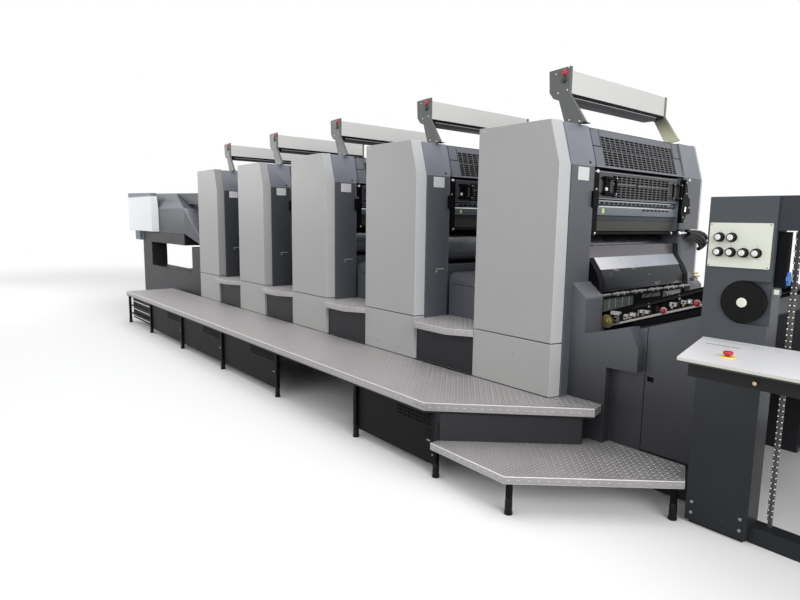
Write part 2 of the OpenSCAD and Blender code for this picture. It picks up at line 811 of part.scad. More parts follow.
// Sloping feed board with a cheek along each edge, on a shaft between the knees
module feed_board() {
  over = col_w + 6;
  run = (col_x + over - feed_x0) / cos(feed_angle);
  cheek_h = feed_t + reg_lift + reg_r + 20;
  cheek_l = 0.62 * run;
  lead = 60;
  shaft = 12;
  color([0.5, 0.51, 0.53]) press() {
    on_feed() {
      translate([0, guard_y + cheek - eps, 0])
        cube([run, body_w - 2 * (guard_y + cheek - eps), feed_t]);
      both_sides() translate([-lead, guard_y, 0]) cube([lead + cheek_l, cheek, cheek_h]);
      both_sides() translate([cheek_l - eps, guard_y, 0])
        cube([run - cheek_l + eps, cheek, feed_t + 20]);
    }
    translate([knee_x - shaft, tower_d + seat, feed_z0 + 0.35 * cheek_h]) rotate([-90, 0, 0])
      cylinder(r = shaft, h = inner_w - 2 * seat);
  }
}

// Bars over the feed board, with brush wheels on the middle one
module register_gear() {
  gap = cheek + seat;
  first = reg_pitch / 2;
  wheel_w = 0.8 * brush_r;
  color([0.6, 0.58, 0.52]) press() on_feed() {
    for (i = [0:2]) translate([first + i * reg_pitch, guard_y + gap, feed_t + reg_lift])
      rotate([-90, 0, 0]) cylinder(r = reg_r, h = body_w - 2 * (guard_y + gap));
    for (y = [0.2, 0.4, 0.6, 0.8])
      translate([first + reg_pitch, guard_y + guard_w * y, feed_t + brush_r + seat])
        rotate([-90, 0, 0]) cylinder(r = brush_r, h = wheel_w);
  }
}

// Columns, floor rails, top members and back posts of the feeder
module feeder_side() {
  toe = 16;
  back_x = feeder_x1 - back_post;
  difference() {
    block([col_x, col_y, toe], [col_x + col_w, col_y + col_d, col_h]);
    translate([wheel_x, col_y + pocket_d, wheel_z]) rotate([90, 0, 0])
      cylinder(r = wheel_r + wheel_clear, h = pocket_d + eps, $fn = 96);
    block([wheel_x, col_y - eps, wheel_z - wheel_r - wheel_clear],
      [col_x + col_w + eps, col_y + pocket_d, wheel_z + wheel_r + wheel_clear]);
    translate([wheel_x, col_y + pocket_d + 42, wheel_z]) rotate([90, 0, 0])
      cylinder(r = 12 + pin_clear, h = 44);
  }
  block([col_x + toe, col_y + toe, 0], [col_x + col_w - toe, col_y + col_d - toe, toe + eps]);
  block([col_x + col_w - eps, col_y + 40, 0], [feeder_x1, col_y + col_d, rail_h]);
  block([col_x + col_w - eps, col_y + 12, member_z0], [feeder_x1, col_y + col_d, member_z]);
  block([back_x, col_y + 40, rail_h - eps], [feeder_x1, col_y + col_d, member_z0 + eps]);
  for (x = chain_x) block([x - chain / 2, chain_y, rail_h - eps],
    [x + chain / 2, chain_y + chain, member_z0 + eps]);
}

module feeder_frame() {
  bar_w = 60;
  color([0.34, 0.37, 0.4]) press() {
    both_sides() feeder_side();
    block([feeder_x1 - back_post, col_y + col_d - eps, 0],
      [feeder_x1, body_w - col_y - col_d + eps, rail_h]);
    block([feeder_x1 - back_post, col_y + col_d - eps, member_z0],
      [feeder_x1, body_w - col_y - col_d + eps, member_z]);
    block([col_x + 60, col_y + col_d - eps, tie_z - 90],
      [col_x + 60 + bar_w, body_w - col_y - col_d + eps, tie_z]);
  }
}

// Suction head over the pile, on its cross beam
module feeder_head() {
  beam_x0 = chain_x[0] + head_w / 2;
  beam_top = member_z - head_beam;
  body_top = beam_top - head_beam;
  body_x = beam_x0 + head_beam / 2;
  half = 0.32 * guard_w;
  sucker_r = sucker_h / 5;
  color([0.4, 0.41, 0.43]) press() {
    block([beam_x0, col_y + col_d + seat, body_top],
      [beam_x0 + head_beam, body_w - col_y - col_d - seat, beam_top]);
    block([body_x - head_w / 2, body_w / 2 - half, body_top - head_h],
      [body_x + head_w / 2, body_w / 2 + half, body_top + eps]);
    for (y = [-0.8, -0.27, 0.27, 0.8])
      translate([body_x - head_w / 4, body_w / 2 + y * half, body_top - head_h - sucker_h])
        cylinder(r = sucker_r, h = sucker_h + eps);
  }
}

// Pile board on its four lifting lugs
module pile_board() {
  x0 = col_x + col_w + 40;
  x1 = feeder_x1 - back_post - 40;
  y0 = col_y + col_d + 60;
  color([0.45, 0.42, 0.38]) press() {
    block([x0, y0, pile_z - pile_t], [x1, body_w - y0, pile_z]);
    both_sides() for (x = chain_x) block([x - 20, chain_y + chain + seat, pile_z - pile_t],
      [x + 20, y0 + eps, pile_z - pile_t + 20]);
  }
}

// Centre of a control knob on the panel
function knob_at(n) = [knob_x0 + KNOBS[n - 1][0] * knob_pitch,
  knob_z0 + KNOBS[n - 1][1] * knob_row];

module control_panel() {
  color([0.82, 0.82, 0.76]) press() along_y(col_y - ctrl_t, col_y) difference() {
    translate([col_x + (col_w - ctrl_w) / 2, ctrl_z]) rounded(ctrl_w, ctrl_h, 5);
    for (n = [1:len(KNOBS)]) translate(knob_at(n)) circle(knob_shaft + pin_clear);
  }
}

module knob(n) {
  skirt = 7;
  at = knob_at(n);
  color([0.85, 0.85, 0.83]) press() translate([at[0], col_y - ctrl_t - seat, at[1]])
    rotate([90, 0, 0]) {
      cylinder(r = knob_r, h = skirt);
      cylinder(r = knob_r - 4, h = knob_h);
      translate([0, 0, -ctrl_t + 1]) cylinder(r = knob_shaft, h = ctrl_t);
    }
}

module handwheel() {
  shaft = 12;
  color([0.06, 0.06, 0.07]) press()
    translate([wheel_x, col_y + pocket_d - 6, wheel_z]) rotate([90, 0, 0]) {
      difference() {
        cylinder(r = wheel_r, h = wheel_t, $fn = 96);
        translate([0, 0, wheel_t - 10]) difference() {
          cylinder(r = wheel_r - 14, h = 11, $fn = 96);
          cylinder(r = 24, h = 12);
        }
      }
      translate([0, 0, -40]) cylinder(r = shaft, h = 41);
      cylinder(r = 18, h = wheel_t + 6);
    }
}

// White console table at the feeder, on its dark tray
module console_table() {
  corner_x = col_x + 148;
  tray = 60;
  well = 30;
  color([0.85, 0.86, 0.87]) press() {
    difference() {
      translate([0, 0, table_z - table_t]) linear_extrude(table_t)
        polygon([[col_x + 18, col_y - seat], [corner_x, -table_y], [table_x1, -table_y],
          [table_x1, col_y - seat]]);
      translate([stop_x, stop_y, table_z - table_t - eps]) cylinder(r = 9, h = table_t + 2 * eps);
    }
    translate([0, 0, table_z - table_t - tray]) linear_extrude(tray + eps) difference() {
      polygon([[col_x + 60, col_y - seat], [corner_x + 30, -table_y + 40],
        [table_x1 - 40, -table_y + 40], [table_x1 - 40, col_y - seat]]);
      translate([stop_x, stop_y]) circle(well);
    }
  }
}

module stop_button() {
  color([0.75, 0.08, 0.1]) press() translate([stop_x, stop_y, table_z]) {
    translate([0, 0, 2 * stop_travel]) cylinder(r = stop_r, h = 14);
    translate([0, 0, -table_t - 10]) cylinder(r = 9 - pin_clear, h = table_t + 21);
  }
}

// Side frames, end posts and lower body of the delivery
module delivery_frames() {
  beam_h = 170;
  close_x = 6250;
  near = -del_near - seat;
  far_y = frame_y + frame_d;
  color([0.22, 0.22, 0.24]) press() {
    both_sides() {
      block([-dpost_x, frame_y, 0], [near, far_y, ledge_z]);
      block([-dpost_x, frame_y, ledge_z - eps], [dpost_w - dpost_x, far_y, hood_z - seat]);
      block([-dpost_x, frame_y, hood_z - beam_h], [-hood_x1, far_y, hood_z - seat]);
      block([-side_x, frame_y, ledge_z - eps], [near, far_y, slope_z0 - 10]);
    }
    block([-close_x, far_y - eps, 0], [near, body_w - far_y + eps, ledge_z]);
  }
}

// Height of the roof over the delivery, which falls towards the last unit
function roof_z(x) = hood_top - roof_fall * (x + del_x0) / (del_x0 - del_near);

// Side outline of the hood, t inside its skin
module hood_side(t) {
  low = hood_z - (t > 0 ? eps : 0);
  end = -del_x0 + 20;
  polygon([[end + t, low], [-hood_x1 - t, low], [-hood_x1 - t, hood_break - t],
    [-roof_x - t, roof_z(-roof_x) - t], [end + t, roof_z(end) - t]]);
}

// Cross section of the hood with its slanted sides, t inside its skin
module hood_section(t) {
  polygon([[frame_y + t, hood_z - 2 * t], [frame_y + t, hood_break - t / 2],
    [frame_y + hood_slant + t / 2, hood_top - t], [body_w - frame_y - hood_slant - t / 2, hood_top - t],
    [body_w - frame_y - t, hood_break - t / 2], [body_w - frame_y - t, hood_z - 2 * t]]);
}

// Hood over the delivery pile
module delivery_hood() {
  color([0.25, 0.25, 0.28]) press() difference() {
    intersection() {
      along_x(-del_x0, -hood_x1 + eps) hood_section(0);
      along_y(0, body_w) hood_side(0);
    }
    intersection() {
      along_x(-del_x0, -hood_x1 + eps) hood_section(hood_wall);
      along_y(0, body_w) hood_side(hood_wall);
    }
  }
}

// Sloping side guards down to the last unit, under the roof
module delivery_slope() {
  near = -del_near - seat;
  from = -hood_x1 + seat;
  roof = -roof_x + seat;
  rise = (roof_z(-roof_x) - hood_break) / (roof_x - hood_x1);
  drop_x = roof + roof_t / (rise - roof_fall / (del_x0 - del_near));
  roof_y = frame_y + hood_slant;
  body_y = roof_y + 50;
  color([0.3, 0.3, 0.33]) press() {
    both_sides() along_y(frame_y, body_y + eps)
      polygon([[from, hood_z], [from, hood_break], [near, slope_z], [near, slope_z0]]);
    along_y(roof_y, body_w - roof_y) polygon([[roof, roof_z(-roof_x)], [near, roof_z(near)],
      [near, roof_z(near) - roof_t], [drop_x, roof_z(drop_x) - roof_t]]);
    along_y(body_y, body_w - body_y) polygon([[from, hood_z], [from, hood_break],
      [roof, roof_z(-roof_x)], [near, roof_z(near)], [near, slope_z0]]);
  }
}

// Light covers at the delivery's end, with a slanted strip beside the hood
module delivery_end_covers() {
  strip = 60;
  drop = 76;
  face_y = frame_y - end_out;
  corner = -end_x1 - strip;
  color([0.72, 0.75, 0.77]) press() both_sides() intersection() {
    along_y(face_y - eps, frame_y + eps)
      polygon([[-del_x0, hood_z], [-del_x0, hood_top], [corner, roof_z(corner)],
        [corner, hood_top - drop], [-end_x1 + eps, hood_break], [-end_x1 + eps, hood_z]]);
    translate([0, 0, hood_z - eps]) linear_extrude(hood_top - hood_z + 2 * eps)
      polygon([[-del_x0 - eps, face_y], [corner, face_y], [-end_x1, frame_y],
        [-del_x0 - eps, frame_y]]);
  }
}

for (n = [1:5]) {
  unit_housing(n - 1);
  unit_covers(n - 1);
  fixed_guards(n - 1);
  ink_guard(n - 1);
}
for (n = [1:6]) knob(n);
cylinders();
overhead_beams();
machine_bed();
gallery_decks();
gallery_posts();
gallery_panels();
footboards();
infeed_housing();
infeed_door();
infeed_guard();
feed_board();
register_gear();
feeder_frame();
feeder_head();
pile_board();
control_panel();
handwheel();
console_table();
stop_button();
delivery_frames();
delivery_hood();
delivery_slope();
delivery_end_covers();
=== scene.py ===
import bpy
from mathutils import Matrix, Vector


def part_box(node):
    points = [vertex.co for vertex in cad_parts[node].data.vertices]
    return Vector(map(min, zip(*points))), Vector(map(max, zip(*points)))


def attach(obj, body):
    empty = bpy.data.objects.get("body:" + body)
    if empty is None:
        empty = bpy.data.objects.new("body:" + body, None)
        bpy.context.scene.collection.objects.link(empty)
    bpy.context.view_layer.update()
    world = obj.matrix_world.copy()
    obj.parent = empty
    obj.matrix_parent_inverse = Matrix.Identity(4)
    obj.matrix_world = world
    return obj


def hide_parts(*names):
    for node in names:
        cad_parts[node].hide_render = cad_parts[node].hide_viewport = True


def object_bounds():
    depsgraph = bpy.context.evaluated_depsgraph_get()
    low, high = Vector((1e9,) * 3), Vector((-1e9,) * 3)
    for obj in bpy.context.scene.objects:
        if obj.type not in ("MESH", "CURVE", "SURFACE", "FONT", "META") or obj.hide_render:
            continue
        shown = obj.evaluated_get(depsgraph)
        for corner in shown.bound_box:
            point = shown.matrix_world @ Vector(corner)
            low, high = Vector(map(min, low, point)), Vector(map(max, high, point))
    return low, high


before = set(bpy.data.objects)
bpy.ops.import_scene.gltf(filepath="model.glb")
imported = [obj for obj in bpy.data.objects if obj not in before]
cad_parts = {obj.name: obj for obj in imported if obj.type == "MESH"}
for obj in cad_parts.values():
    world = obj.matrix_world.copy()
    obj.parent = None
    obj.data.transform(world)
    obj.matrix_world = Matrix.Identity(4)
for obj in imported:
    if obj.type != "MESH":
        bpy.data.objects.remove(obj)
CAD_BOX = [list(corner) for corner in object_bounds()]

from math import cos, pi, radians, sin

import bmesh
import bpy
from mathutils import Matrix, Vector

# ---------------------------------------------------------------- the press frame
# Everything is built in metres in the press frame: x = 0 at the first unit's cover and
# runs to the feeder, y = 0 at the operator's cover face, z = 0 on the floor.
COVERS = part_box("unit_1_covers")
X0 = COVERS[0].x
WIDTH = COVERS[1].y - COVERS[0].y
HALF = WIDTH / 2
TO_FINAL = Matrix.Translation((X0, -HALF, 0))
TO_FEEDER, TO_OPERATOR, UP = (1, 0, 0), (0, -1, 0), (0, 0, 1)

# Lengths of a unit: its covers, its housings (towers), the leaning top above KINK, the grids
PITCH = 1.24
UNITS = range(1, 6)
COVER_W, COVER_D, FLARE = 0.628, 0.084, 0.019
TOP, KINK, JOINT = 2.07, 1.812, 0.766
TOWER_X, TOWER_D, MECH = 0.655, 0.33, 0.055
LEAN = 0.073 / (TOP - KINK)
GUARD_Y = TOWER_D + MECH
GRILLE_X, GUARD_X = 0.647, 0.63
# Heights and reach of the gallery: deck, lower step, underside; then the infeed's side and leg
DECK, DECK_Y, DECK_X0 = 0.44, 0.645, -6.08
STEP, UNDER = 0.212, 0.38
SIDE_Y, LEG_Y = 0.222, 0.152


# ---------------------------------------------------------------- node trees
class Sock:
    """An output socket that adds Math nodes when it is used in an expression."""

    def __init__(self, nodes, socket):
        self.nodes, self.socket = nodes, socket

    def out(self, name):
        return Sock(self.nodes, self.socket.node.outputs[name])

    def math(self, operation, *others):
        values = dict(enumerate((self,) + others))
        return self.nodes.add("ShaderNodeMath", {"operation": operation}, values)

    def __add__(self, b): return self.math("ADD", b)
    def __radd__(self, b): return self.math("ADD", b)
    def __sub__(self, b): return self.math("SUBTRACT", b)
    def __mul__(self, b): return self.math("MULTIPLY", b)
    def __rmul__(self, b): return self.math("MULTIPLY", b)
    def __truediv__(self, b): return self.math("DIVIDE", b)
    def __rsub__(self, b): return self.nodes.add("ShaderNodeMath", {"operation": "SUBTRACT"}, {0: b, 1: self})
    def __abs__(self): return self.math("ABSOLUTE")
    def __lt__(self, b): return self.math("LESS_THAN", b)
    def __gt__(self, b): return self.math("GREATER_THAN", b)


def opaque(colour):
    """A colour with full alpha; a socket stays as it is."""
    return colour if isinstance(colour, Sock) else (*colour, 1)


class Nodes:
    """Adds nodes to a shader or a geometry tree."""

    def __init__(self, tree):
        self.tree = tree

    def add(self, kind, settings=None, values=None, out=0):
        node = self.tree.nodes.new(kind)
        for key, value in (settings or {}).items():
            if key == "stops":
                ramp = node.color_ramp
                while len(ramp.elements) < len(value):
                    ramp.elements.new(0.5)
                for stop, (place, colour) in zip(ramp.elements, value):
                    stop.position, stop.color = place, (*colour, 1)
            else:
                setattr(node, key, value)
        for key, value in (values or {}).items():
            if isinstance(value, Sock):
                self.tree.links.new(value.socket, node.inputs[key])
            else:
                node.inputs[key].default_value = value
        return Sock(self, node.outputs[out]) if len(node.outputs) else node


class Finish(Nodes):
    """One material, read from Object coordinates in metres."""

    def __init__(self, name):
        self.mat = bpy.data.materials.new(name)
        self.mat.use_nodes = True
        super().__init__(self.mat.node_tree)
        self.tree.nodes.clear()
        self.place = self.add("ShaderNodeTexCoord").out("Object")

    def along(self, name):
        return self.add("ShaderNodeSeparateXYZ", None, {0: self.place}).out(name)

    def stretched(self, x, y, z):
        return self.add("ShaderNodeVectorMath", {"operation": "MULTIPLY"}, {0: self.place, 1: (x, y, z)})

    def noise(self, scale, detail=3.0, rough=0.55, where=None):
        return self.add("ShaderNodeTexNoise", None,
            {"Vector": where or self.place, "Scale": scale, "Detail": detail, "Roughness": rough})

    def step(self, value, low, high):
        """0 below low, 1 above high, smooth between."""
        return self.add("ShaderNodeMapRange", {"interpolation_type": "SMOOTHSTEP"},
            {0: value, 1: low, 2: high, 3: 0.0, 4: 1.0})

    def mix(self, factor, a, b):
        return self.add("ShaderNodeMix", {"data_type": "RGBA"}, {0: factor, 6: opaque(a), 7: opaque(b)}, 2)

    def tinted(self, colour, factor):
        """A colour times a number that changes over the surface."""
        grey = self.add("ShaderNodeCombineXYZ", None, {0: factor, 1: factor, 2: factor})
        return self.add("ShaderNodeVectorMath", {"operation": "MULTIPLY"}, {0: grey, 1: colour})

    def scaled(self, colour, factor):
        return self.add("ShaderNodeVectorMath", {"operation": "SCALE"}, {0: colour, "Scale": factor})

    def done(self, base, rough, metal=0.0, height=None, lift=0.0005, **fixed):
        values = {"Base Color": opaque(base), "Roughness": rough, "Metallic": metal}
        values.update({key.replace("_", " "): value for key, value in fixed.items()})
        if height is not None:
            values["Normal"] = self.add("ShaderNodeBump", None,
                {"Height": height, "Distance": lift, "Strength": 1.0})
        shader = self.add("ShaderNodeBsdfPrincipled", None, values)
        self.add("ShaderNodeOutputMaterial", None, {"Surface": shader})
        return self


class Tree(Nodes):
    """A geometry tree with named inputs, ending in Realize Instances and Set Material."""

    def __init__(self, name, inputs):
        super().__init__(bpy.data.node_groups.new(name, "GeometryNodeTree"))
        face = self.tree.interface
        face.new_socket("Geometry", in_out="OUTPUT", socket_type="NodeSocketGeometry")
        face.new_socket("Geometry", in_out="INPUT", socket_type="NodeSocketGeometry")
        for key, kind in inputs.items():
            face.new_socket(key, in_out="INPUT", socket_type="NodeSocket" + kind)
        self.given = self.add("NodeGroupInput")

    def end(self, instances):
        real = self.add("GeometryNodeRealizeInstances", None, {0: instances})
        made = self.add("GeometryNodeSetMaterial", None,
            {"Geometry": real, "Material": self.given.out("Finish")})
        self.add("NodeGroupOutput", None, {0: made})
        return self.tree


def grown(name, tree, mesh, inputs):
    """Runs a geometry tree on a mesh and keeps the result as a plain mesh object."""
    ob = bpy.data.objects.new(name, mesh)
    bpy.context.scene.collection.objects.link(ob)
    mod = ob.modifiers.new("grow", "NODES")
    mod.node_group = tree
    for item in tree.interface.items_tree:
        if item.in_out == "INPUT" and item.name in inputs:
            mod[item.identifier] = inputs[item.name]
    return plain(ob)


def plain(ob):
    """Applies the modifiers and removes them."""
    graph = bpy.context.evaluated_depsgraph_get()
    graph.update()
    made = bpy.data.meshes.new_from_object(ob.evaluated_get(graph), preserve_all_data_layers=True,
        depsgraph=graph)
    old = ob.data
    ob.modifiers.clear()
    ob.data = made
    bpy.data.meshes.remove(old)
    return ob


# ---------------------------------------------------------------- finishes
def painted(name, colour, rough=0.42, tone=0.1, dirt=0.12, peel=0.00025, shine=0.5, accent=None):
    """Satin machine paint: broad tone, smudges, fine orange peel, specks of dust."""
    f = Finish(name)
    broad = f.noise(1.1, 2)
    cloud = f.noise(7, 4, 0.6)
    shade = 1 + (broad - 0.5) * tone + (cloud - 0.5) * (tone * 0.7)
    base = f.tinted(colour, shade)
    if accent:
        base = accent(f, base)
    smudge = f.step(f.noise(3.3, 6, 0.68), 0.56, 0.78) * dirt
    grime = tuple(c * 0.45 + 0.012 for c in colour)
    base = f.mix(smudge, base, grime)
    dust = f.step(f.noise(420, 1), 0.7, 0.76) * 0.18
    base = f.mix(dust, base, tuple(min(1, c * 1.35 + 0.03) for c in colour))
    gloss = rough + (cloud - 0.5) * 0.12 + smudge * 0.5
    return f.done(base, gloss, height=f.noise(650, 2), lift=peel, Specular_IOR_Level=shine)


def two_tone_and_painted_shade(f, base):
    """Lighter leaning tops over a dark seam; painted shade darkens the far units and the parts below the
    deck.
    """
    z = f.along("Z")
    # Painted shade: the towers of the far units are darkened, as each unit shades the next.
    far = 1 - f.step(f.along("X"), -0.9, 1.6)
    base = f.mix(far * 0.62, base, f.scaled(base, 0.22))
    top = f.step(z, KINK - 0.001, KINK + 0.001)
    base = f.mix(top, base, (0.192, 0.204, 0.234))
    seam = abs(z - KINK) < 0.0014
    base = f.mix(seam * 0.8, base, (0.012, 0.012, 0.014))
    # Painted shade: near-black below the deck, for the shade under the gallery.
    return f.mix((z < DECK) * 0.85, base, (0.012, 0.012, 0.013))


def cover_marks(f, base):
    """Scuffs low on the covers, and the dark joint line just above the deck."""
    z = f.along("Z")
    low = 1 - f.step(z, DECK, DECK + 0.55)
    scuff = f.step(f.noise(14, 6, 0.72), 0.6, 0.72) * low
    base = f.mix(scuff * 0.5, base, (0.16, 0.16, 0.15))
    return f.mix((z < DECK + 0.005) * 0.8, base, (0.02, 0.02, 0.02))


def flare_painted_shade(f, base):
    """The covers' slanted edges: painted shade, duller towards the delivery, where each unit shades the next.
    """
    return f.mix(1 - f.step(f.along("X"), -2.0, 2.2), base, (0.235, 0.235, 0.228))


def end_band(f, base):
    """The end covers' upper band is blue-grey, with a soft lower edge."""
    return f.mix(f.step(f.along("Z"), 1.786, 1.812), base, (0.115, 0.15, 0.19))


def within(value, low, high):
    """1 where a value lies between two limits."""
    return (value > low) * (value < high)


def lattice_painted_shade(f, base, y0, y_step, z0, z_step, rim, field):
    """A light rim round punched rows: thin ribs in the grid's own grey, and painted shade, near-black, over
    the rest of each bar so the slots look larger and dark.
    """
    y, z = f.along("Y"), f.along("Z")
    rib = abs(((y - y0) / y_step).math("FRACT") - 0.834) < 0.055
    row = abs(((z - z0) / z_step).math("FRACT") - 0.776) < 0.1
    # Painted shade: the bars are near-black except for thin ribs.
    bars = f.mix(rib.math("MAXIMUM", row), (0.008, 0.008, 0.009), base)
    inside = within(y, field[0], field[1]) * within(z, field[2], field[3])
    return f.mix(inside, rim, bars)


def grille_bars(f, base):
    """The leaning grid."""
    return lattice_painted_shade(f, base, -0.458, 0.05844, 1.8334, 0.01525, (0.15, 0.155, 0.178),
        (-0.459, 0.459, 1.831, 2.013))


def ink_bars(f, base):
    """The ink guard's grid."""
    return lattice_painted_shade(f, base, -0.34, 0.05608, 1.644, 0.01544, (0.082, 0.083, 0.086),
        (-0.343, 0.37, 1.6415, 1.778))


def plate_band(f, base):
    """The dark plate's upper part is blue-grey, parted by a thin black line."""
    z = f.along("Z")
    base = f.mix(z > 1.5, base, (0.042, 0.05, 0.062))
    return f.mix(within(z, 1.4975, 1.5015), base, (0.006, 0.006, 0.006))


def table_marks(f, base):
    """Faint smears on the table's top, and a warmer front edge."""
    smear = f.step(f.noise(9, 5, 0.7, f.stretched(1, 2.5, 1)), 0.56, 0.66) * 0.35
    base = f.mix(smear, base, (0.5, 0.5, 0.51))
    base = f.mix(f.along("Z") < 0.9455, base, (0.62, 0.62, 0.55))
    return f.mix(f.along("Z") < 0.9362, base, (0.03, 0.03, 0.029))


def steel(name, colour, rough, grain=(1, 1, 60), scratch=0.1, stain=0.1, metal=1.0):
    """Bare metal with fine directional grain, light scratches and dull stains."""
    f = Finish(name)
    fine = f.noise(40, 3, 0.6, f.stretched(*grain))
    cloud = f.noise(5, 5, 0.65)
    marks = f.step(f.noise(26, 2, 0.5, f.stretched(1, 7, 1)), 0.66, 0.69) * scratch
    dull = f.step(cloud, 0.52, 0.72) * stain
    base = f.mix(dull, f.tinted(colour, 0.9 + fine * 0.2), tuple(c * 0.55 for c in colour))
    base = f.mix(marks, base, tuple(min(1, c * 1.3) for c in colour))
    gloss = rough + (fine - 0.5) * 0.16 + dull * 0.8
    return f.done(base, gloss, metal=metal, height=fine, lift=0.00012)


def plastic(name, colour, rough=0.35, coat=0.0):
    """Moulded plastic with a fine texture."""
    f = Finish(name)
    tone = 0.92 + f.noise(30, 3) * 0.16
    return f.done(f.tinted(colour, tone), rough + (f.noise(90, 2) - 0.5) * 0.1,
        height=f.noise(900, 1), lift=0.0001, Coat_Weight=coat)


def tread():
    """Worn aluminium tread plate: bright on the lugs, grey film between, scuffs."""
    f = Finish("tread_plate")
    z = f.along("Z")
    film = f.noise(9, 5, 0.6)
    walked = f.noise(2.1, 3)
    scuff = f.step(f.noise(120, 3, 0.7), 0.52, 0.7)
    base = f.mix(film, (0.31, 0.297, 0.297), (0.42, 0.402, 0.402))
    base = f.mix(scuff * 0.45, base, (0.24, 0.23, 0.225))
    base = f.mix(f.step(walked, 0.5, 0.8) * 0.35, base, (0.28, 0.265, 0.26))
    gloss = 0.46 + (film - 0.5) * 0.3 + scuff * 0.12
    base = under_shade(f, base)
    return f.done(base, gloss, metal=0.5, height=film + scuff * 0.4, lift=0.0004)


def under_shade(f, base):
    """The lowest centimetre of the deck's edge, folded under and dark."""
    return f.mix(within(f.along("Z"), UNDER - 0.002, UNDER + 0.0115), base, (0.006, 0.006, 0.006))


def lug(name, low, high, rough):
    """The lugs' own faces and the rolled edges, polished by shoes; on the rolled edges the lighter colour is
    also a painted highlight.
    """
    f = Finish(name)
    wear = f.noise(60, 3)
    base = under_shade(f, f.mix(wear, low, high))
    return f.done(base, rough + wear * 0.2, metal=0.45)


def timber():
    """Pressed pile board with a faint lengthwise grain."""
    f = Finish("pile_timber")
    rings = f.noise(9, 5, 0.6, f.stretched(14, 1, 14))
    knots = f.step(f.noise(3, 2), 0.62, 0.8)
    base = f.mix(rings, (0.2, 0.14, 0.085), (0.36, 0.27, 0.18))
    base = f.mix(knots * 0.5, base, (0.13, 0.09, 0.06))
    return f.done(base, 0.62 + (rings - 0.5) * 0.2, height=rings, lift=0.0008)


def low_shade_and_rubs(f, base):
    """Painted shade that darkens the paint towards the floor, where less light reaches; rubbed lighter where
    shoes and cartons touch it.
    """
    z = f.along("Z")
    # Painted shade: the colour falls to about a quarter near the floor.
    base = f.mix(1 - f.step(z, 0.4, 1.08), base, f.scaled(base, 0.26))
    low = 1 - f.step(z, 0.05, 0.55)
    rub = f.step(f.noise(24, 5, 0.7), 0.6, 0.7) * low
    return f.mix(rub * 0.25, base, (0.09, 0.09, 0.095))


def skirt_marks_and_shade(f, base):
    """Painted shade near-black along the top of the skirt panels, under the deck's edge, and pale splashes on
    them.
    """
    splash = f.step(f.noise(30, 5, 0.75), 0.66, 0.74) * 0.25
    base = f.mix(splash, base, (0.07, 0.07, 0.07))
    # Painted shade: near-black under the deck's edge.
    return f.mix(f.along("Z") > 0.352, base, (0.003, 0.003, 0.003))


def glare(f, base):
    """Painted reflection on the brushed face: brighter at the operator's end, darker and bluer towards the
    drive side.
    """
    y = f.along("Y")
    base = f.mix(f.step(y, -0.62, 0.1), (0.74, 0.73, 0.74), base)
    return f.mix(f.step(y, 0.15, 0.55), base, (0.26, 0.28, 0.32))


def shaded_end(f, base):
    """Painted shade: darker towards the drive side."""
    return f.mix(f.step(f.along("Y") + f.along("Z") * 0.8, 1.4, 1.52), base, (0.012, 0.012, 0.014))


def reflection_streaks(f, base):
    """Painted reflections: pale streaks on a polished sheet."""
    wiped = f.step(f.noise(4.2, 2, 0.4, f.stretched(1, 1.3, 6)), 0.6, 0.68)
    return f.mix(wiped * 0.75, base, (0.2, 0.2, 0.185))


def arm_foot_reflection(f, base):
    """Painted reflection: darker at the top of the far arm, paler and yellower towards its foot."""
    return f.mix(1 - f.step(f.along("Z"), 2.06, 2.25), f.scaled(base, 0.42), (0.52, 0.52, 0.36))


# A name, a colour, a roughness, and what differs from the usual paint, steel or plastic
# Housing slate: carries painted shade on the far units and below the deck.
SLATE = painted("housing_slate", (0.092, 0.097, 0.111), 0.36, shine=0.4, accent=two_tone_and_painted_shade)
BRACKET = painted("infeed_slate", (0.118, 0.122, 0.138), 0.34, shine=0.3, accent=low_shade_and_rubs)
# Painted highlight: the infeed bracket's rounded edges in a lighter grey.
BRACKET_HIGHLIGHT = painted("infeed_edge", (0.24, 0.25, 0.28), 0.26)
COVER = painted("cover_grey", (0.35, 0.354, 0.346), 0.42, tone=0.07, dirt=0.06, shine=0.4,
    accent=cover_marks)
# Painted light: the flares facing the feeder are a lighter copy of the cover grey, for the light falling on
# them.
LIT_FLARE_COVER = painted("cover_flare", (0.47, 0.475, 0.485), 0.38, tone=0.05, dirt=0.05, shine=0.4,
    accent=flare_painted_shade)
# Painted light: the end covers share the units' cover grey, painted much lighter for the daylight glare on
# them.
LIT_END_COVER = painted("end_cover_light", (0.8, 0.81, 0.82), 0.4, tone=0.05, dirt=0.04, accent=end_band)
BLUE_GREY = painted("band_blue_grey", (0.16, 0.2, 0.26), 0.35)
BLACK = painted("guard_black", (0.004, 0.004, 0.005), 0.42, tone=0.2, dirt=0.0, shine=0.06)
RUBBER = painted("rubber_black", (0.006, 0.006, 0.007), 0.26, dirt=0.0, shine=0.16)
GRID = painted("grid_grey", (0.06, 0.061, 0.064), 0.36)
GRILLE = painted("grille_grey", (0.115, 0.117, 0.124), 0.34, dirt=0.0, shine=0.25, accent=grille_bars)
INK_GRID = painted("ink_guard_grey", (0.1, 0.101, 0.106), 0.34, dirt=0.0, shine=0.25, accent=ink_bars)
FRAME = painted("frame_light", (0.22, 0.23, 0.26), 0.3)
DARK_PLATE = painted("plate_dark", (0.06, 0.058, 0.052), 0.42, shine=0.25, accent=plate_band)
PANEL = painted("panel_charcoal", (0.02, 0.021, 0.024), 0.44, dirt=0.2, shine=0.2)
SKIRT = painted("skirt_charcoal", (0.0066, 0.0067, 0.0073), 0.5, dirt=0.2, shine=0.08, accent=skirt_marks_and_shade)
RISER = painted("riser_charcoal", (0.026, 0.026, 0.03), 0.46, dirt=0.2, shine=0.2)
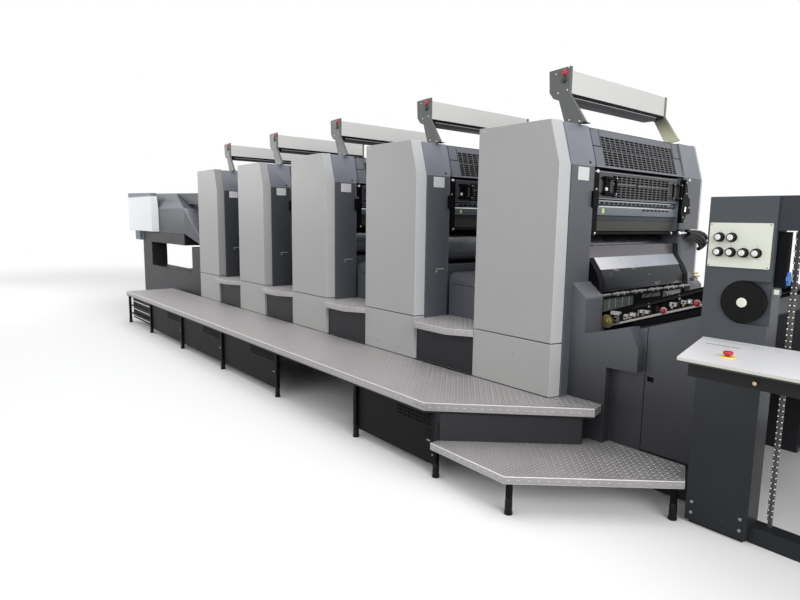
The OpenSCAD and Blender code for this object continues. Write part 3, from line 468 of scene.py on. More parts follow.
TRAY = painted("tray_charcoal", (0.011, 0.011, 0.012), 0.4, shine=0.2)
HOOD = painted("hood_charcoal", (0.029, 0.033, 0.044), 0.34, shine=0.27)
HOOD_SLANT = painted("hood_slant", (0.088, 0.096, 0.116), 0.3, shine=0.4)
# Painted highlight: lighter grey on the delivery hood's rounded edges and on the chain guard's upturned
# slants.
HOOD_HIGHLIGHT = painted("hood_edge", (0.17, 0.18, 0.205), 0.28)
FEEDER = painted("feeder_slate", (0.062, 0.07, 0.078), 0.34, shine=0.22, accent=low_shade_and_rubs)
FEEDER_DARK = painted("feeder_shade", (0.024, 0.026, 0.036), 0.36, shine=0.25)
CHAIN = steel("chain_steel", (0.085, 0.08, 0.072), 0.42, (1, 1, 1), stain=0.5, metal=0.5)
BEAM = painted("beam_white", (0.64, 0.635, 0.62), 0.4, tone=0.05, dirt=0.05)
ARM = painted("arm_grey", (0.1, 0.106, 0.102), 0.4, shine=0.35)
# Painted reflection on the far arm, paler towards its foot.
FAR_ARM = painted("arm_grey_green", (0.3, 0.3, 0.235), 0.42, accent=arm_foot_reflection)
CREAM = painted("panel_cream", (0.68, 0.7, 0.61), 0.45, tone=0.05, dirt=0.04)
TABLE = painted("table_white", (0.66, 0.66, 0.67), 0.3, tone=0.05, dirt=0.07, accent=table_marks)
LABEL = painted("label_white", (0.66, 0.66, 0.66), 0.5, tone=0.04, dirt=0.05)
PANEL_RING = painted("ring_grey", (0.36, 0.36, 0.35), 0.4)
MAUVE = painted("infeed_mauve", (0.145, 0.135, 0.15), 0.36, shine=0.3, accent=shaded_end)
# Painted reflection: the guard's bright facet, lightest at the operator's end.
GUARD_FACE = painted("guard_face", (0.4, 0.42, 0.475), 0.28, tone=0.05, dirt=0.0, accent=glare)
# Painted reflection: a dark base for the dark parts the polished facets reflect, with pale streaks.
POLISHED = painted("polished_dark", (0.011, 0.015, 0.019), 0.14, shine=0.15, accent=reflection_streaks)
GLASS = steel("smoked_plate", (0.12, 0.14, 0.13), 0.14, (1, 4, 1), stain=0.5, scratch=0.4, metal=0.1)
PALE = painted("cast_pale", (0.52, 0.49, 0.46), 0.34, tone=0.3, dirt=0.3)
TREAD = tread()
LUG = lug("tread_lug", (0.4, 0.388, 0.385), (0.6, 0.585, 0.58), 0.42)
# Partly painted highlight: the decks' rolled edges, worn bright and painted lighter still.
NOSING_HIGHLIGHT = lug("tread_nosing", (0.52, 0.505, 0.5), (0.74, 0.72, 0.71), 0.36)
BRIGHT = steel("bright_steel", (0.66, 0.67, 0.69), 0.24, (1, 0.2, 30))
WASH = steel("wash_steel", (0.125, 0.145, 0.165), 0.28, (1, 0.2, 30), stain=0.25, metal=0.2)
STEEL = steel("bar_steel", (0.25, 0.25, 0.26), 0.28, (1, 0.3, 8), stain=0.3, metal=0.6)
GROUND = steel("cylinder_steel", (0.45, 0.46, 0.48), 0.28, (60, 1, 60))
SHEET = steel("feed_sheet", (0.14, 0.145, 0.155), 0.34, (1, 1, 20), stain=0.35, metal=0.4)
BRASS = steel("brass", (0.26, 0.22, 0.09), 0.34, (1, 1, 1), stain=0.35, metal=0.6)
GOLD = steel("gold_edge", (0.52, 0.45, 0.2), 0.26, (1, 1, 1), stain=0.3, metal=0.6)
CHROME = steel("chrome", (0.8, 0.8, 0.8), 0.12, (1, 1, 1), stain=0.05)
WHEEL = painted("wheel_black", (0.005, 0.005, 0.0054), 0.42, dirt=0.0, shine=0.1)
KNOB = plastic("knob_white", (0.74, 0.74, 0.71), 0.35)
RED = plastic("button_red", (0.42, 0.01, 0.03), 0.34)
GREEN = plastic("button_green", (0.006, 0.022, 0.014), 0.35)
LIME = plastic("stop_lime", (0.55, 0.72, 0.22), 0.4)
YELLOW = plastic("disc_yellow", (0.8, 0.58, 0.04), 0.4)
PIN = plastic("pin_white", (0.74, 0.74, 0.7), 0.3)
BLUE = plastic("part_blue", (0.03, 0.17, 0.46), 0.35)
TIMBER = timber()


# ---------------------------------------------------------------- solids
SAME_POINT = 2e-5
FLAT, SHARP, ROUNDED = radians(1), radians(35), radians(50)


def linked(name, bm):
    """A new object at the origin, its mesh moved from the press frame to the final one."""
    mesh = bpy.data.meshes.new(name)
    bm.to_mesh(mesh)
    bm.free()
    mesh.transform(TO_FINAL)
    ob = bpy.data.objects.new(name, mesh)
    bpy.context.scene.collection.objects.link(ob)
    return ob


def placed(ob, slot, body, replaced=()):
    """Attaches an object to its body and hides the CAD nodes that it stands for. The slot is not used."""
    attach(ob, body)
    if replaced:
        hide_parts(*replaced)
    return ob


class Shape:
    """Collects the solids of one piece, built in the press frame, in metres."""

    def __init__(self, *cad, paint=None):
        self.bm = bmesh.new()
        self.finishes = []
        self.cad = cad
        for node in cad:
            self.bm.from_mesh(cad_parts[node].data)
        if cad:
            bmesh.ops.transform(self.bm, matrix=TO_FINAL.inverted(), verts=self.bm.verts)
            bmesh.ops.remove_doubles(self.bm, verts=self.bm.verts, dist=SAME_POINT)
            bmesh.ops.dissolve_limit(self.bm, angle_limit=FLAT, verts=self.bm.verts, edges=self.bm.edges)
            for face in self.bm.faces:
                face.material_index = self.index(paint(face.calc_center_median(), face.normal))

    def index(self, finish):
        if finish not in self.finishes:
            self.finishes.append(finish)
        return self.finishes.index(finish)

    def solid(self, points, faces, finish):
        verts = [self.bm.verts.new(p) for p in points]
        made = [self.bm.faces.new([verts[i] for i in face]) for face in faces]
        for face in made:
            face.material_index = self.index(finish)
        bmesh.ops.recalc_face_normals(self.bm, faces=made)
        return self

    def box(self, low, high, finish):
        return self.prism("z", [low[:2], (high[0], low[1]), high[:2], (low[0], high[1])],
            low[2], high[2], finish)

    def boxes(self, x, *rows):
        """Boxes from a finish, a lowest and a highest corner, moved along the press by x."""
        for finish, x0, y0, z0, x1, y1, z1 in rows:
            self.box((x + x0, y0, z0), (x + x1, y1, z1), finish)
        return self

    def prism(self, axis, outline, low, high, finish):
        """An outline in the other two axes, taken in order, drawn out along one axis."""
        def put(p, q):
            p = list(p)
            p.insert("xyz".index(axis), q)
            return p
        n = len(outline)
        points = [put(p, low) for p in outline] + [put(p, high) for p in outline]
        faces = [tuple(range(n)), tuple(range(2 * n - 1, n - 1, -1))]
        faces += [(i, (i + 1) % n, n + (i + 1) % n, n + i) for i in range(n)]
        return self.solid(points, faces, finish)

    def lathe(self, base, axis, profile, finish, n=24):
        """A profile of (radius, height) pairs, turned round an axis from base."""
        turn = Vector(axis).to_track_quat("Z", "Y")
        points, rings = [], []
        for r, h in profile:
            rings.append(range(len(points), len(points) + n))
            for i in range(n):
                a = 2 * pi * i / n
                points.append(Vector(base) + turn @ Vector((r * cos(a), r * sin(a), h)))
        faces = [tuple(rings[0]), tuple(rings[-1])]
        for low, high in zip(rings, rings[1:]):
            faces += [(low[i], low[(i + 1) % n], high[(i + 1) % n], high[i]) for i in range(n)]
        return self.solid(points, faces, finish)

    def head(self, place, axis, sizes, finish, n=12, sunk=0.001):
        """A round head: radius and height of its side, then of its narrower top."""
        r, high, r_top, top = sizes
        return self.lathe(place, axis, [(r, -sunk), (r, high), (r_top, top)], finish, n)

    def rod(self, a, b, r, finish, n=12):
        a, b = Vector(a), Vector(b)
        return self.lathe(a, b - a, [(r, 0), (r, (b - a).length)], finish, n)

    def tube(self, path, r, finish, n=8):
        """A round bar along a path of points."""
        path = [Vector(p) for p in path]
        points, faces = [], []
        for i, p in enumerate(path):
            ahead = (path[min(i + 1, len(path) - 1)] - path[max(i - 1, 0)]).normalized()
            side = ahead.cross(Vector(UP))
            if side.length < 0.2:
                side = ahead.cross(Vector((0, 1, 0)))
            side.normalize()
            over = side.cross(ahead)
            for k in range(n):
                a = 2 * pi * k / n
                points.append(p + (side * cos(a) + over * sin(a)) * r)
        for i in range(len(path) - 1):
            for k in range(n):
                j = (k + 1) % n
                faces.append((i * n + k, i * n + j, (i + 1) * n + j, (i + 1) * n + k))
        faces += [tuple(range(n)), tuple(range(len(points) - n, len(points)))]
        return self.solid(points, faces, finish)

    def both_sides(self):
        """Adds the same solids on the drive side."""
        every = self.bm.verts[:] + self.bm.edges[:] + self.bm.faces[:]
        made = bmesh.ops.duplicate(self.bm, geom=every)["geom"]
        for v in made:
            if isinstance(v, bmesh.types.BMVert):
                v.co.y = WIDTH - v.co.y
        bmesh.ops.reverse_faces(self.bm, faces=[g for g in made if isinstance(g, bmesh.types.BMFace)])
        return self

    def piece(self, name, slot, body="press", bevel=0.0015, segments=2, rim=None):
        """Makes the object: edges rounded by bevel, in the rim's finish if one is given."""
        rim = self.index(rim) if rim else -1
        ob = linked(name, self.bm)
        for finish in self.finishes:
            ob.data.materials.append(finish.mat)
        ob.data.shade_smooth()
        if bevel:
            edge = ob.modifiers.new("edge", "BEVEL")
            edge.width, edge.segments, edge.limit_method = bevel, segments, "ANGLE"
            edge.angle_limit, edge.harden_normals = ROUNDED, False
            edge.use_clamp_overlap = True
            edge.material = rim
            ob.modifiers.new("even", "WEIGHTED_NORMAL").keep_sharp = False
            plain(ob)
        else:
            ob.data.set_sharp_from_angle(angle=SHARP)
        return placed(ob, slot, body, self.cad)


def dressed(node, name, slot, finish, **edges):
    """A CAD node redrawn in one finish, or in what a function picks for each face."""
    paint = finish if callable(finish) else lambda centre, normal: finish
    return Shape(node, paint=paint).piece(name, slot, **edges)


# ---------------------------------------------------------------- repeats
def lug_tree():
    """Lugs of a tread plate on a square grid, kept where they lie over the given faces."""
    sizes = {key: "Float" for key in ("Size X", "Size Y", "Turn", "Long", "Wide", "High")}
    t = Tree("tread_lugs", {**sizes, "Count X": "Int", "Count Y": "Int", "Middle": "Vector",
        "Finish": "Material"})
    g = t.given
    field = t.add("GeometryNodeMeshGrid", None, {"Size X": g.out("Size X"), "Size Y": g.out("Size Y"),
        "Vertices X": g.out("Count X"), "Vertices Y": g.out("Count Y")})
    field = t.add("GeometryNodeSetPosition", None, {"Geometry": field, "Offset": g.out("Middle")})
    hit = t.add("GeometryNodeRaycast", None, {"Target Geometry": g.out("Geometry"),
        "Source Position": t.add("GeometryNodeInputPosition"), "Ray Direction": (0, 0, -1),
        "Ray Length": 0.1})
    number = t.add("GeometryNodeInputIndex")
    row = (number / g.out("Count Y")).math("FLOOR")
    odd = (row + (number - row * g.out("Count Y"))).math("MODULO", 2.0)
    turn = t.add("ShaderNodeCombineXYZ", None, {2: odd * g.out("Turn")})
    stud = t.add("GeometryNodeMeshCone", {"fill_type": "NGON"},
        {"Vertices": 4, "Radius Top": 0.55, "Radius Bottom": 1.0, "Depth": 1.0})
    size = t.add("ShaderNodeCombineXYZ", None, {0: g.out("Long") * 0.5, 1: g.out("Wide") * 0.5,
        2: g.out("High")})
    return t.end(t.add("GeometryNodeInstanceOnPoints", None, {"Points": field, "Instance": stud,
        "Selection": hit.out("Is Hit"), "Rotation": turn, "Scale": size}))


LUGS = lug_tree()
LUG_PITCH, LUG_LONG, LUG_WIDE, LUG_HIGH = 0.025, 0.0205, 0.0078, 0.0014


def lug_field(outline, matrix):
    """Lugs over an outline in its own plane, then placed: one straight row on a narrow edge."""
    low = Vector([min(p[i] for p in outline) for i in (0, 1)])
    high = Vector([max(p[i] for p in outline) for i in (0, 1)])
    span, middle = high - low, (low + high) / 2
    edge = span.y < LUG_PITCH
    pitch = LUG_PITCH * (2 if edge else 1)
    counts = [max(1, int(s / pitch) + 1) for s in span]
    mesh = bpy.data.meshes.new("field")
    mesh.from_pydata([(p[0], p[1], 0) for p in outline], [], [tuple(range(len(outline)))])
    ob = grown("field", LUGS, mesh, {"Size X": (counts[0] - 1) * pitch, "Size Y": (counts[1] - 1) * pitch,
        "Turn": 0.0 if edge else pi / 2, "Count X": counts[0], "Count Y": counts[1],
        "Middle": (middle.x, middle.y, 0.0002), "Long": LUG_LONG, "Wide": LUG_WIDE, "High": LUG_HIGH,
        "Finish": LUG.mat})
    ob.data.transform(matrix)
    return ob


def lugs(name, fields):
    """One piece with the lugs of all its fields, kept inside the press's width."""
    bm = bmesh.new()
    for ob in [lug_field(*field) for field in fields]:
        bm.from_mesh(ob.data)
        bpy.data.objects.remove(ob)
    ob = linked(name, bm)
    for v in ob.data.vertices:
        v.co.y = min(max(v.co.y, CAD_BOX[0][1]), CAD_BOX[1][1])
    ob.data.materials.append(LUG.mat)
    return placed(ob, "tread_plate", "press")


# ---------------------------------------------------------------- printing units
# Round heads: radius and height of the side, radius and height of the top
SCREW, BOLT = (0.005, 0.002, 0.003, 0.003), (0.008, 0.004, 0.006, 0.006)
WASH_SLOTS, WASH_SLOT_STEP, WASH_SLOT = 16, 0.0538, 0.037
ROD_X, ROD_Z = 0.628, 1.418


def start(k):
    """Where unit k's covers begin."""
    return -(k - 1) * PITCH


def lean_strip(s, x, y0, y1, z0, z1, finish, proud=0.0012, sunk=0.001):
    """A thin strip lying on the leaning grid of the unit at x."""
    outline = [(x + GRILLE_X - (z - KINK) * LEAN + d, z)
        for z, d in ((z0, -sunk), (z0, proud), (z1, proud), (z1, -sunk))]
    s.prism("y", outline, y0, y1, finish)


def covers(k):
    """Light side covers with a small bright line at the top corner of each."""
    # Painted light: faces turned to the feeder take the lighter flare grey.
    dressed(f"unit_{k}_covers", f"unit_{k}_cover_sheets", "cover_grey",
        lambda c, n: LIT_FLARE_COVER if n.x > 0.5 else COVER, bevel=0.0035, segments=3)
    t = Shape().boxes(start(k), (LABEL, 0.022, -0.0012, 2.047, 0.062, 0.0002, 2.05))
    t.both_sides().piece(f"unit_{k}_cover_lines", "cover_grey", bevel=0)


def housing(k):
    """Slate housings with a bare label plate and a latch; their inner faces between the towers, above the
    joint, are black as painted shade, for the dark seen through the grids.
    """
    x = start(k) + TOWER_X

    def paint(c, n):
        inside = TOWER_D + 0.001 < c.y < WIDTH - TOWER_D - 0.001
        # Painted shade: black on the inner faces between the towers.
        return BLACK if inside and n.z < 0.9 and n.x > -0.5 and c.z > JOINT else SLATE

    dressed(f"unit_{k}_housing", f"unit_{k}_housing_castings", "housing_grey", paint,
        bevel=0.004, segments=3)
    t = Shape().boxes(x, (LABEL, -0.0006, 0.145, 1.73, 0.0012, 0.255, 1.806),
        (LABEL, -0.0006, 0.184, 1.115, 0.001, 0.274, 1.1185))
    t.head((x, 0.192, 1.098), TO_FEEDER, SCREW, PIN)
    t.head((x - 0.0065, 0.271, 1.838), (1, 0, LEAN), (0.007, 0.003, 0.004, 0.005), BLACK)
    t.piece(f"unit_{k}_labels", "housing_grey", bevel=0)


def guards(k):
    """Leaning grid, wash guard and dark plate between black cheeks."""
    tilt = Vector((1, 0, LEAN)).normalized()

    def paint(c, n):
        if c.z > KINK + 0.004:
            # Painted shade: the slot walls and sides of the leaning grid are black.
            return GRILLE if n.dot(tilt) > 0.7 else BLACK
        if c.y < GUARD_Y - 0.001 or c.y > WIDTH - GUARD_Y + 0.001:
            return BLACK
        if c.z > 1.5295:
            # Painted light: the wash guard's upturned fold takes bright steel.
            return BRIGHT if 0.3 < n.z < 0.95 else WASH
        return DARK_PLATE

    dressed(f"unit_{k}_fixed_guards", f"unit_{k}_guards", "guard_black", paint, bevel=0.0012, segments=1)


def grid_trim(k):
    """Seams and light edges of the leaning grid."""
    x = start(k)
    t = Shape()
    for y0, y1, z0, z1 in ((0.344, 0.348, 1.822, 1.946), (0.346, 0.35, 1.946, 2.05),
            (0.436, 0.439, 1.948, 2.05), (0.344, 0.439, 1.944, 1.949)):
        for a, b in ((y0, y1), (WIDTH - y1, WIDTH - y0)):
            lean_strip(t, x, a, b, z0, z1, BLACK)
    lean_strip(t, x, 0.352, 1.448, 1.8188, 1.8232, FRAME)
    for y in (0.4418, 1.3548):
        lean_strip(t, x, y, y + 0.0034, 1.834, 2.01, FRAME)
    for z0, z1, finish in ((1.96, 1.979, DARK_PLATE), (1.925, 1.929, FRAME)):
        lean_strip(t, x, 0.443, 1.357, z0, z1, finish, proud=-0.0055, sunk=0.012)
    t.piece(f"unit_{k}_grid_trim", "guard_black", bevel=0)


def wash_rail(k):
    """Slotted rail over the wash guard."""
    x = start(k)
    t = Shape().boxes(x, (WASH, 0.59, 0.412, 1.5985, 0.62, 1.388, 1.6225),
        (BRIGHT, 0.6195, 0.412, 1.6175, 0.6212, 1.388, 1.6222))
    for i in range(WASH_SLOTS):
        y = 0.447 + i * WASH_SLOT_STEP
        t.boxes(x, (BLACK, 0.619, y, 1.601, 0.6208, y + WASH_SLOT, 1.6125))
        if i > 8:
            t.boxes(x, (BLACK, 0.633, y, 1.564, 0.6346, y + WASH_SLOT, 1.575))
    t.boxes(x, (GRILLE, 0.633, 0.4, 1.5318, 0.635, 1.4, 1.5345),
        (LIME, 0.633, 0.446, 1.542, 0.6365, 0.472, 1.572))
    t.piece(f"unit_{k}_wash_rail", "bright_steel", bevel=0.0005, segments=1)


def guard_fittings(k):
    """Cross rod, knobs, switch and the shaped arm on the drive side."""
    x = start(k)
    t = Shape()
    end = TOWER_D + 0.0005
    t.rod((x + ROD_X, end, ROD_Z), (x + ROD_X, WIDTH - end, ROD_Z), 0.009, BLACK, 16)
    for y in (0.377, 1.354):
        t.rod((x + ROD_X, y - 0.008, ROD_Z), (x + ROD_X, y + 0.008, ROD_Z), 0.0125, CHROME, 20)
    knob = [(0.006, -0.002), (0.006, 0.008), (0.009, 0.01), (0.011, 0.015), (0.009, 0.021), (0.004, 0.023)]
    for dx, y, z in ((0.643, 0.342, 1.79), (0.655, 1.5, 1.796)):
        t.lathe((x + dx, y, z), TO_FEEDER, knob, PIN, 20)
    t.boxes(x, (BLACK, 0.642, 0.292, 1.577, 0.672, 0.348, 1.672),
        (RUBBER, 0.642, 0.35, 1.6, 0.655, 0.376, 1.64))
    t.rod((x + 0.662, 0.329, 1.677), (x + 0.662, 0.329, 1.69), 0.007, STEEL)
    arm = [(1.44, 1.49), (1.475, 1.5), (1.5, 1.55), (1.563, 1.56), (1.55, 1.61), (1.545, 1.665),
        (1.512, 1.68), (1.492, 1.75), (1.48, 1.8), (1.462, 1.792), (1.45, 1.72), (1.43, 1.64),
        (1.42, 1.56)]
    t.prism("x", arm, x + 0.64, x + 0.664, BLACK)
    t.rod((x + 0.67, 1.462, 1.57), (x + 0.67, 1.468, 1.604), 0.0065, CHROME, 16)
    t.rod((x + 0.664, 1.47, 1.5), (x + 0.664, 1.482, 1.508), 0.0075, BRASS, 14)
    for y, z in ((1.448, 1.53), (1.478, 1.7), (1.53, 1.6), (1.471, 1.778)):
        t.head((x + 0.664, y, z), TO_FEEDER, BOLT, STEEL)
    t.boxes(x, (GRID, 0.642, 1.414, 1.442, 0.662, 1.5, 1.49))
    t.piece(f"unit_{k}_guard_fittings", "guard_black", bevel=0.0012, segments=2)


def ink_guard(k):
    """Hinged grid with rails, a latch and a loop handle at each end."""
    front, body = start(k) + GUARD_X, f"ink_guard_{k}"

    def paint(c, n):
        on_plate = front - 0.0145 <= c.x <= front + 0.0005
        return INK_GRID if on_plate and n.x > 0.7 else BLACK

    dressed(f"unit_{k}_ink_guard", f"unit_{k}_ink_grid", "guard_black", paint, body=body,
        bevel=0.002, segments=2)
    t = Shape().boxes(front, (FRAME, -0.001, 0.396, 1.7915, 0.003, 1.404, 1.7965),
        (FRAME, -0.001, 0.396, 1.63, 0.0022, 1.404, 1.635),
        (GRID, -0.0115, 0.562, 1.717, -0.0035, 1.268, 1.737),
        (FRAME, -0.001, 0.562, 1.7265, 0.0012, 1.268, 1.73))
    t.head((front, 0.852, 1.727), TO_FEEDER, (0.01, 0.003, 0.007, 0.005), RUBBER, 20)
    t.boxes(front, (STEEL, 0.004, 0.848, 1.724, 0.01, 0.872, 1.73),
        (BLACK, -0.001, 0.446, 1.65, 0.004, 0.528, 1.77))
    loop = ((0.001, 1.655), (0.03, 1.662), (0.034, 1.69), (0.034, 1.73), (0.03, 1.752), (0.001, 1.758))
    for y in (0.5445, 1.404):
        t.tube([(front + dx, y, z) for dx, z in loop], 0.0075, BLACK, 10)
    t.lathe((front + 0.0375, 0.425, 1.687), TO_FEEDER, [(0.007, -0.004), (0.011, 0.0), (0.011, 0.006),
        (0.007, 0.009)], PIN, 20)
    for y in (0.5425, 1.29, 1.401):
        for z in (1.663, 1.757):
            t.head((front + 0.0372, y, z), TO_FEEDER, (0.0045, 0.002, 0.003, 0.003), CHROME)
    t.piece(f"unit_{k}_ink_guard_trim", "guard_black", body=body, bevel=0)


def beams():
    """White beams between two cranked plates, with a dark tray and push buttons."""
    near, far, plate = 0.244, 1.372, 0.222

    def paint(c, n):
        if c.y < near + 0.0005:
            return ARM
        if c.y > far - 0.0005:
            return FAR_ARM
        return BEAM if c.z > 2.2495 else PANEL

    dressed("overhead_beams", "overhead_box_beams", "beam_white", paint, bevel=0.003, segments=3)
    button = [(0.019, -0.001), (0.019, 0.004), (0.0165, 0.006), (0.0145, 0.006), (0.0145, 0.011),
        (0.012, 0.013)]
    t = Shape()
    for k in UNITS:
        x = start(k)
        t.boxes(x, (BLACK, 0.499, near, 2.234, 0.506, far, 2.2502),
            (BLACK, 0.397, near, 2.234, 0.406, far, 2.2502),
            (LABEL, 0.4995, 0.29, 2.2275, 0.5022, 1.28, 2.2305))
        for y in (0.248, 1.262):
            t.rod((x + 0.478, y, 2.229), (x + 0.478, y + 0.042, 2.229), 0.022, BLACK, 24)
        for z, finish in ((2.37, RED), (2.331, GREEN)):
            t.lathe((x + 0.472, plate, z), TO_OPERATOR, button, finish)
        for dx, z in ((0.41, 2.372), (0.5, 2.398), (0.43, 2.258), (0.496, 2.268), (0.52, 2.09),
                (0.592, 2.076)):
            t.head((x + dx, plate, z), TO_OPERATOR, SCREW, LABEL)
        t.boxes(x, (RUBBER, 0.596, plate, 2.0602, 0.64, 0.262, 2.066))
    t.piece("beam_fittings", "beam_white", bevel=0.0008, segments=1)


def bed():
    """Base and rounded guards between the units, with a white pin on each."""
    dressed("machine_bed", "machine_bed_casting", "housing_grey", SLATE, bevel=0.004)
    t = Shape()
    for k in range(1, 5):
        x = -k * PITCH + 0.95
        t.lathe((x, 0.332, 1.01), TO_OPERATOR, [(0.006, -0.003), (0.006, 0.006), (0.01, 0.008),
            (0.01, 0.016), (0.006, 0.019)], PIN, 16)
        t.boxes(x, (BLACK, -0.255, 0.3292, 0.996, 0.24, 0.331, 0.999))
    t.both_sides().piece("bed_guard_pins", "housing_grey", bevel=0)


# ---------------------------------------------------------------- galleries
BAYS = [-0.49 - 1.145 * i for i in range(5)] + [-6.034]
SKIRT_Y, POST_Y, POST_GAP = -0.609, -0.615, 0.0223
DECK_EDGE, STEP_EDGE = 0.06, 0.042
FOOTBOARD, FOOTBOARD_EDGE = 0.752, 0.046
DECK_OUTLINE = [(DECK_X0, -DECK_Y), (0.254, -DECK_Y - 0.012), (0.918, 0.041), (0.891, LEG_Y),
    (TOWER_X, LEG_Y), (TOWER_X, COVER_D), (COVER_W + FLARE, COVER_D), (COVER_W, 0), (DECK_X0, 0)]
STEP_OUTLINE = [(0.3, -0.65), (0.865, -0.657), (1.454, 0.02), (1.362, 0.22), (0.905, 0.22),
    (0.905, 0.152), (0.817, 0.152), (0.3, -0.555)]


def shrunk(outline, inset):
    """An outline moved inwards by the same distance on every side."""
    n, made = len(outline), []
    area = sum(outline[i][0] * outline[(i + 1) % n][1] - outline[(i + 1) % n][0] * outline[i][1]
        for i in range(n))
    sign = 1 if area > 0 else -1
    for i in range(n):
        p, q, r = (Vector(outline[(i + j) % n]) for j in (-1, 0, 1))
        a, b = (q - p).normalized(), (r - q).normalized()
        na, nb = Vector((-a.y, a.x)) * sign, Vector((-b.y, b.x)) * sign
        mid = na + nb
        if mid.length < 1e-6:
            continue
        mid.normalize()
        made.append(q + mid * inset / max(0.35, mid.dot(na)))
    return [(p.x, p.y) for p in made]


def level(z):
    """Places a field at a height."""
    return Matrix.Translation((0, 0, z))


def upright(a, b, z):
    """Places a field drawn from (0, 0) along the wall from a to b, facing right of that way."""
    a, b = Vector((a[0], a[1], z)), Vector((b[0], b[1], z))
    along = (b - a).normalized()
    up = Vector(UP)
    return Matrix.Translation(a) @ Matrix((along, up, along.cross(up))).transposed().to_4x4()


def far_side(fields):
    """The same fields on the drive side."""
    flip = Matrix.Translation((0, WIDTH, 0)) @ Matrix.Diagonal((1, -1, 1, 1))
    return [(outline, flip @ matrix) for outline, matrix in fields]


def nosing(outline, last, z, depth):
    """Fields along the outer walls of a deck, from its first corner to the last one named."""
    fields = []
    low, high = depth * 0.55 - 0.01, depth * 0.55 + 0.01
    for a, b in zip(outline[:last], outline[1:]):
        run = (Vector(b) - Vector(a)).length
        fields.append(([(0.012, low), (run - 0.012, low), (run - 0.012, high), (0.012, high)],
            upright(a, b, z - depth)))
    return fields


def decks():
    """Tread decks and lower steps, with their lugs."""
    # The rolled edges take the nosing colour: worn metal with a painted highlight.
    dressed("gallery_decks", "gallery_tread_decks", "tread_plate", TREAD, bevel=0.005, segments=3, rim=NOSING_HIGHLIGHT)
    deck = [(shrunk(DECK_OUTLINE, 0.018), level(DECK))] + nosing(DECK_OUTLINE, 2, DECK, DECK_EDGE)
    lugs("gallery_lugs_operator", deck)
    lugs("gallery_lugs_drive", far_side(deck))
    step = [(shrunk(STEP_OUTLINE, 0.018), level(STEP))] + nosing(STEP_OUTLINE, 2, STEP, STEP_EDGE)
    lugs("step_lugs", step + far_side(step))


def posts():
    """Square posts with a sleeve under the deck, on round levelling feet."""
    t = Shape()
    t.cad = ("gallery_posts",)
    foot = [(0.0195, 0.0), (0.0225, 0.003), (0.0225, 0.014), (0.0195, 0.018), (0.0195, 0.076),
        (0.0165, 0.084), (0.015, 0.088)]
    under_step = ((0.318, POST_Y), (0.865, POST_Y), (1.412, 0.004))
    for x, y, top in [(b, POST_Y, UNDER) for b in BAYS] + [(x, y, STEP - STEP_EDGE) for x, y in under_step]:
        half, sleeve = 0.015 if top > STEP else 0.013, 0.02
        t.box((x - half, y - half, 0.07), (x + half, y + half, top), BLACK)
        t.box((x - sleeve, y - sleeve, top - 0.008), (x + sleeve, y + sleeve, top - 0.0005), BLACK)
        t.lathe((x, y, 0.0), UP, foot, RUBBER)
    t.both_sides().piece("gallery_leg_posts", "guard_black", bevel=0.001, segments=1)


def skirts():
    """Skirt panels with louvres, slots and a latch, and tube rails in the open end bay."""
    dressed("gallery_panels", "gallery_skirts", "panel_charcoal",
        lambda c, n: RISER if c.x > 0.285 else SKIRT, bevel=0.0015)
    t = Shape()
    closed = [(BAYS[i + 1] + POST_GAP, BAYS[i] - POST_GAP) for i in (1, 2, 3)] + [(BAYS[0] + POST_GAP, 0.296)]
    for x0, x1 in closed:
        at = x1 - 0.45 * (x1 - x0) + 0.02
        while at < x1 - 0.04:
            t.box((at, SKIRT_Y - 0.0002, UNDER - 0.09), (at + 0.007, SKIRT_Y + 0.0062, UNDER - 0.008), SKIRT)
            at += 0.036
        for i in range(3):
            z = 0.262 - i * 0.021
            t.box((x1 - 0.072, SKIRT_Y - 0.0012, z), (x1 - 0.03, SKIRT_Y + 0.001, z + 0.009), BLACK)
        t.box((x1 - 0.066, SKIRT_Y - 0.003, 0.196), (x1 - 0.038, SKIRT_Y + 0.001, 0.206), STEEL)
        t.head((x1 - 0.016, SKIRT_Y, 0.12), TO_OPERATOR, (0.006, 0.002, 0.004, 0.003), STEEL)
    x0, x1 = BAYS[5] + 0.022, BAYS[4] - 0.022
    # Painted shade: a black sheet behind the open end bay, for the shade under the gallery.
    t.box((x0, SKIRT_Y + 0.03, 0.075), (x1, SKIRT_Y + 0.036, UNDER - 0.0005), BLACK)
    for z in (0.118, 0.216, 0.322):
        t.box((x0, SKIRT_Y - 0.005, z), (x1, SKIRT_Y + 0.004, z + 0.009), BRIGHT)
    t.both_sides().piece("skirt_louvres", "panel_charcoal", bevel=0)


def footboards():
    """Tread boards between the units, over the dark recess panels."""
    dressed("footboards", "tread_footboards", "tread_plate",
        lambda c, n: TREAD if c.z > 0.7 else PANEL, bevel=0.004, segments=3, rim=LUG)
    fields = []
    for k in range(1, 5):
        board = [(-k * PITCH + dx, y) for dx, y in ((0.63, 0), (0.746, -0.098), (1.064, -0.098), (1.236, 0),
            (1.236, 0.33), (0.655, 0.33), (0.655, 0.084), (0.649, 0.084))]
        fields.append((shrunk(board, 0.014), level(FOOTBOARD)))
        fields += nosing(board, 3, FOOTBOARD, FOOTBOARD_EDGE)
    lugs("footboard_lugs", fields + far_side(fields))


# ---------------------------------------------------------------- infeed
FEED_SLOPE, LAY_SLOPE, ROD_SLOPE = 0.354, 0.33, 0.383
INNER = 0.3305
GEAR_X, GEAR_Z, TEETH, ROOT_R, TIP_R = 0.778, 0.893, 22, 0.035, 0.0405
BLOCK_FACE = 0.3852
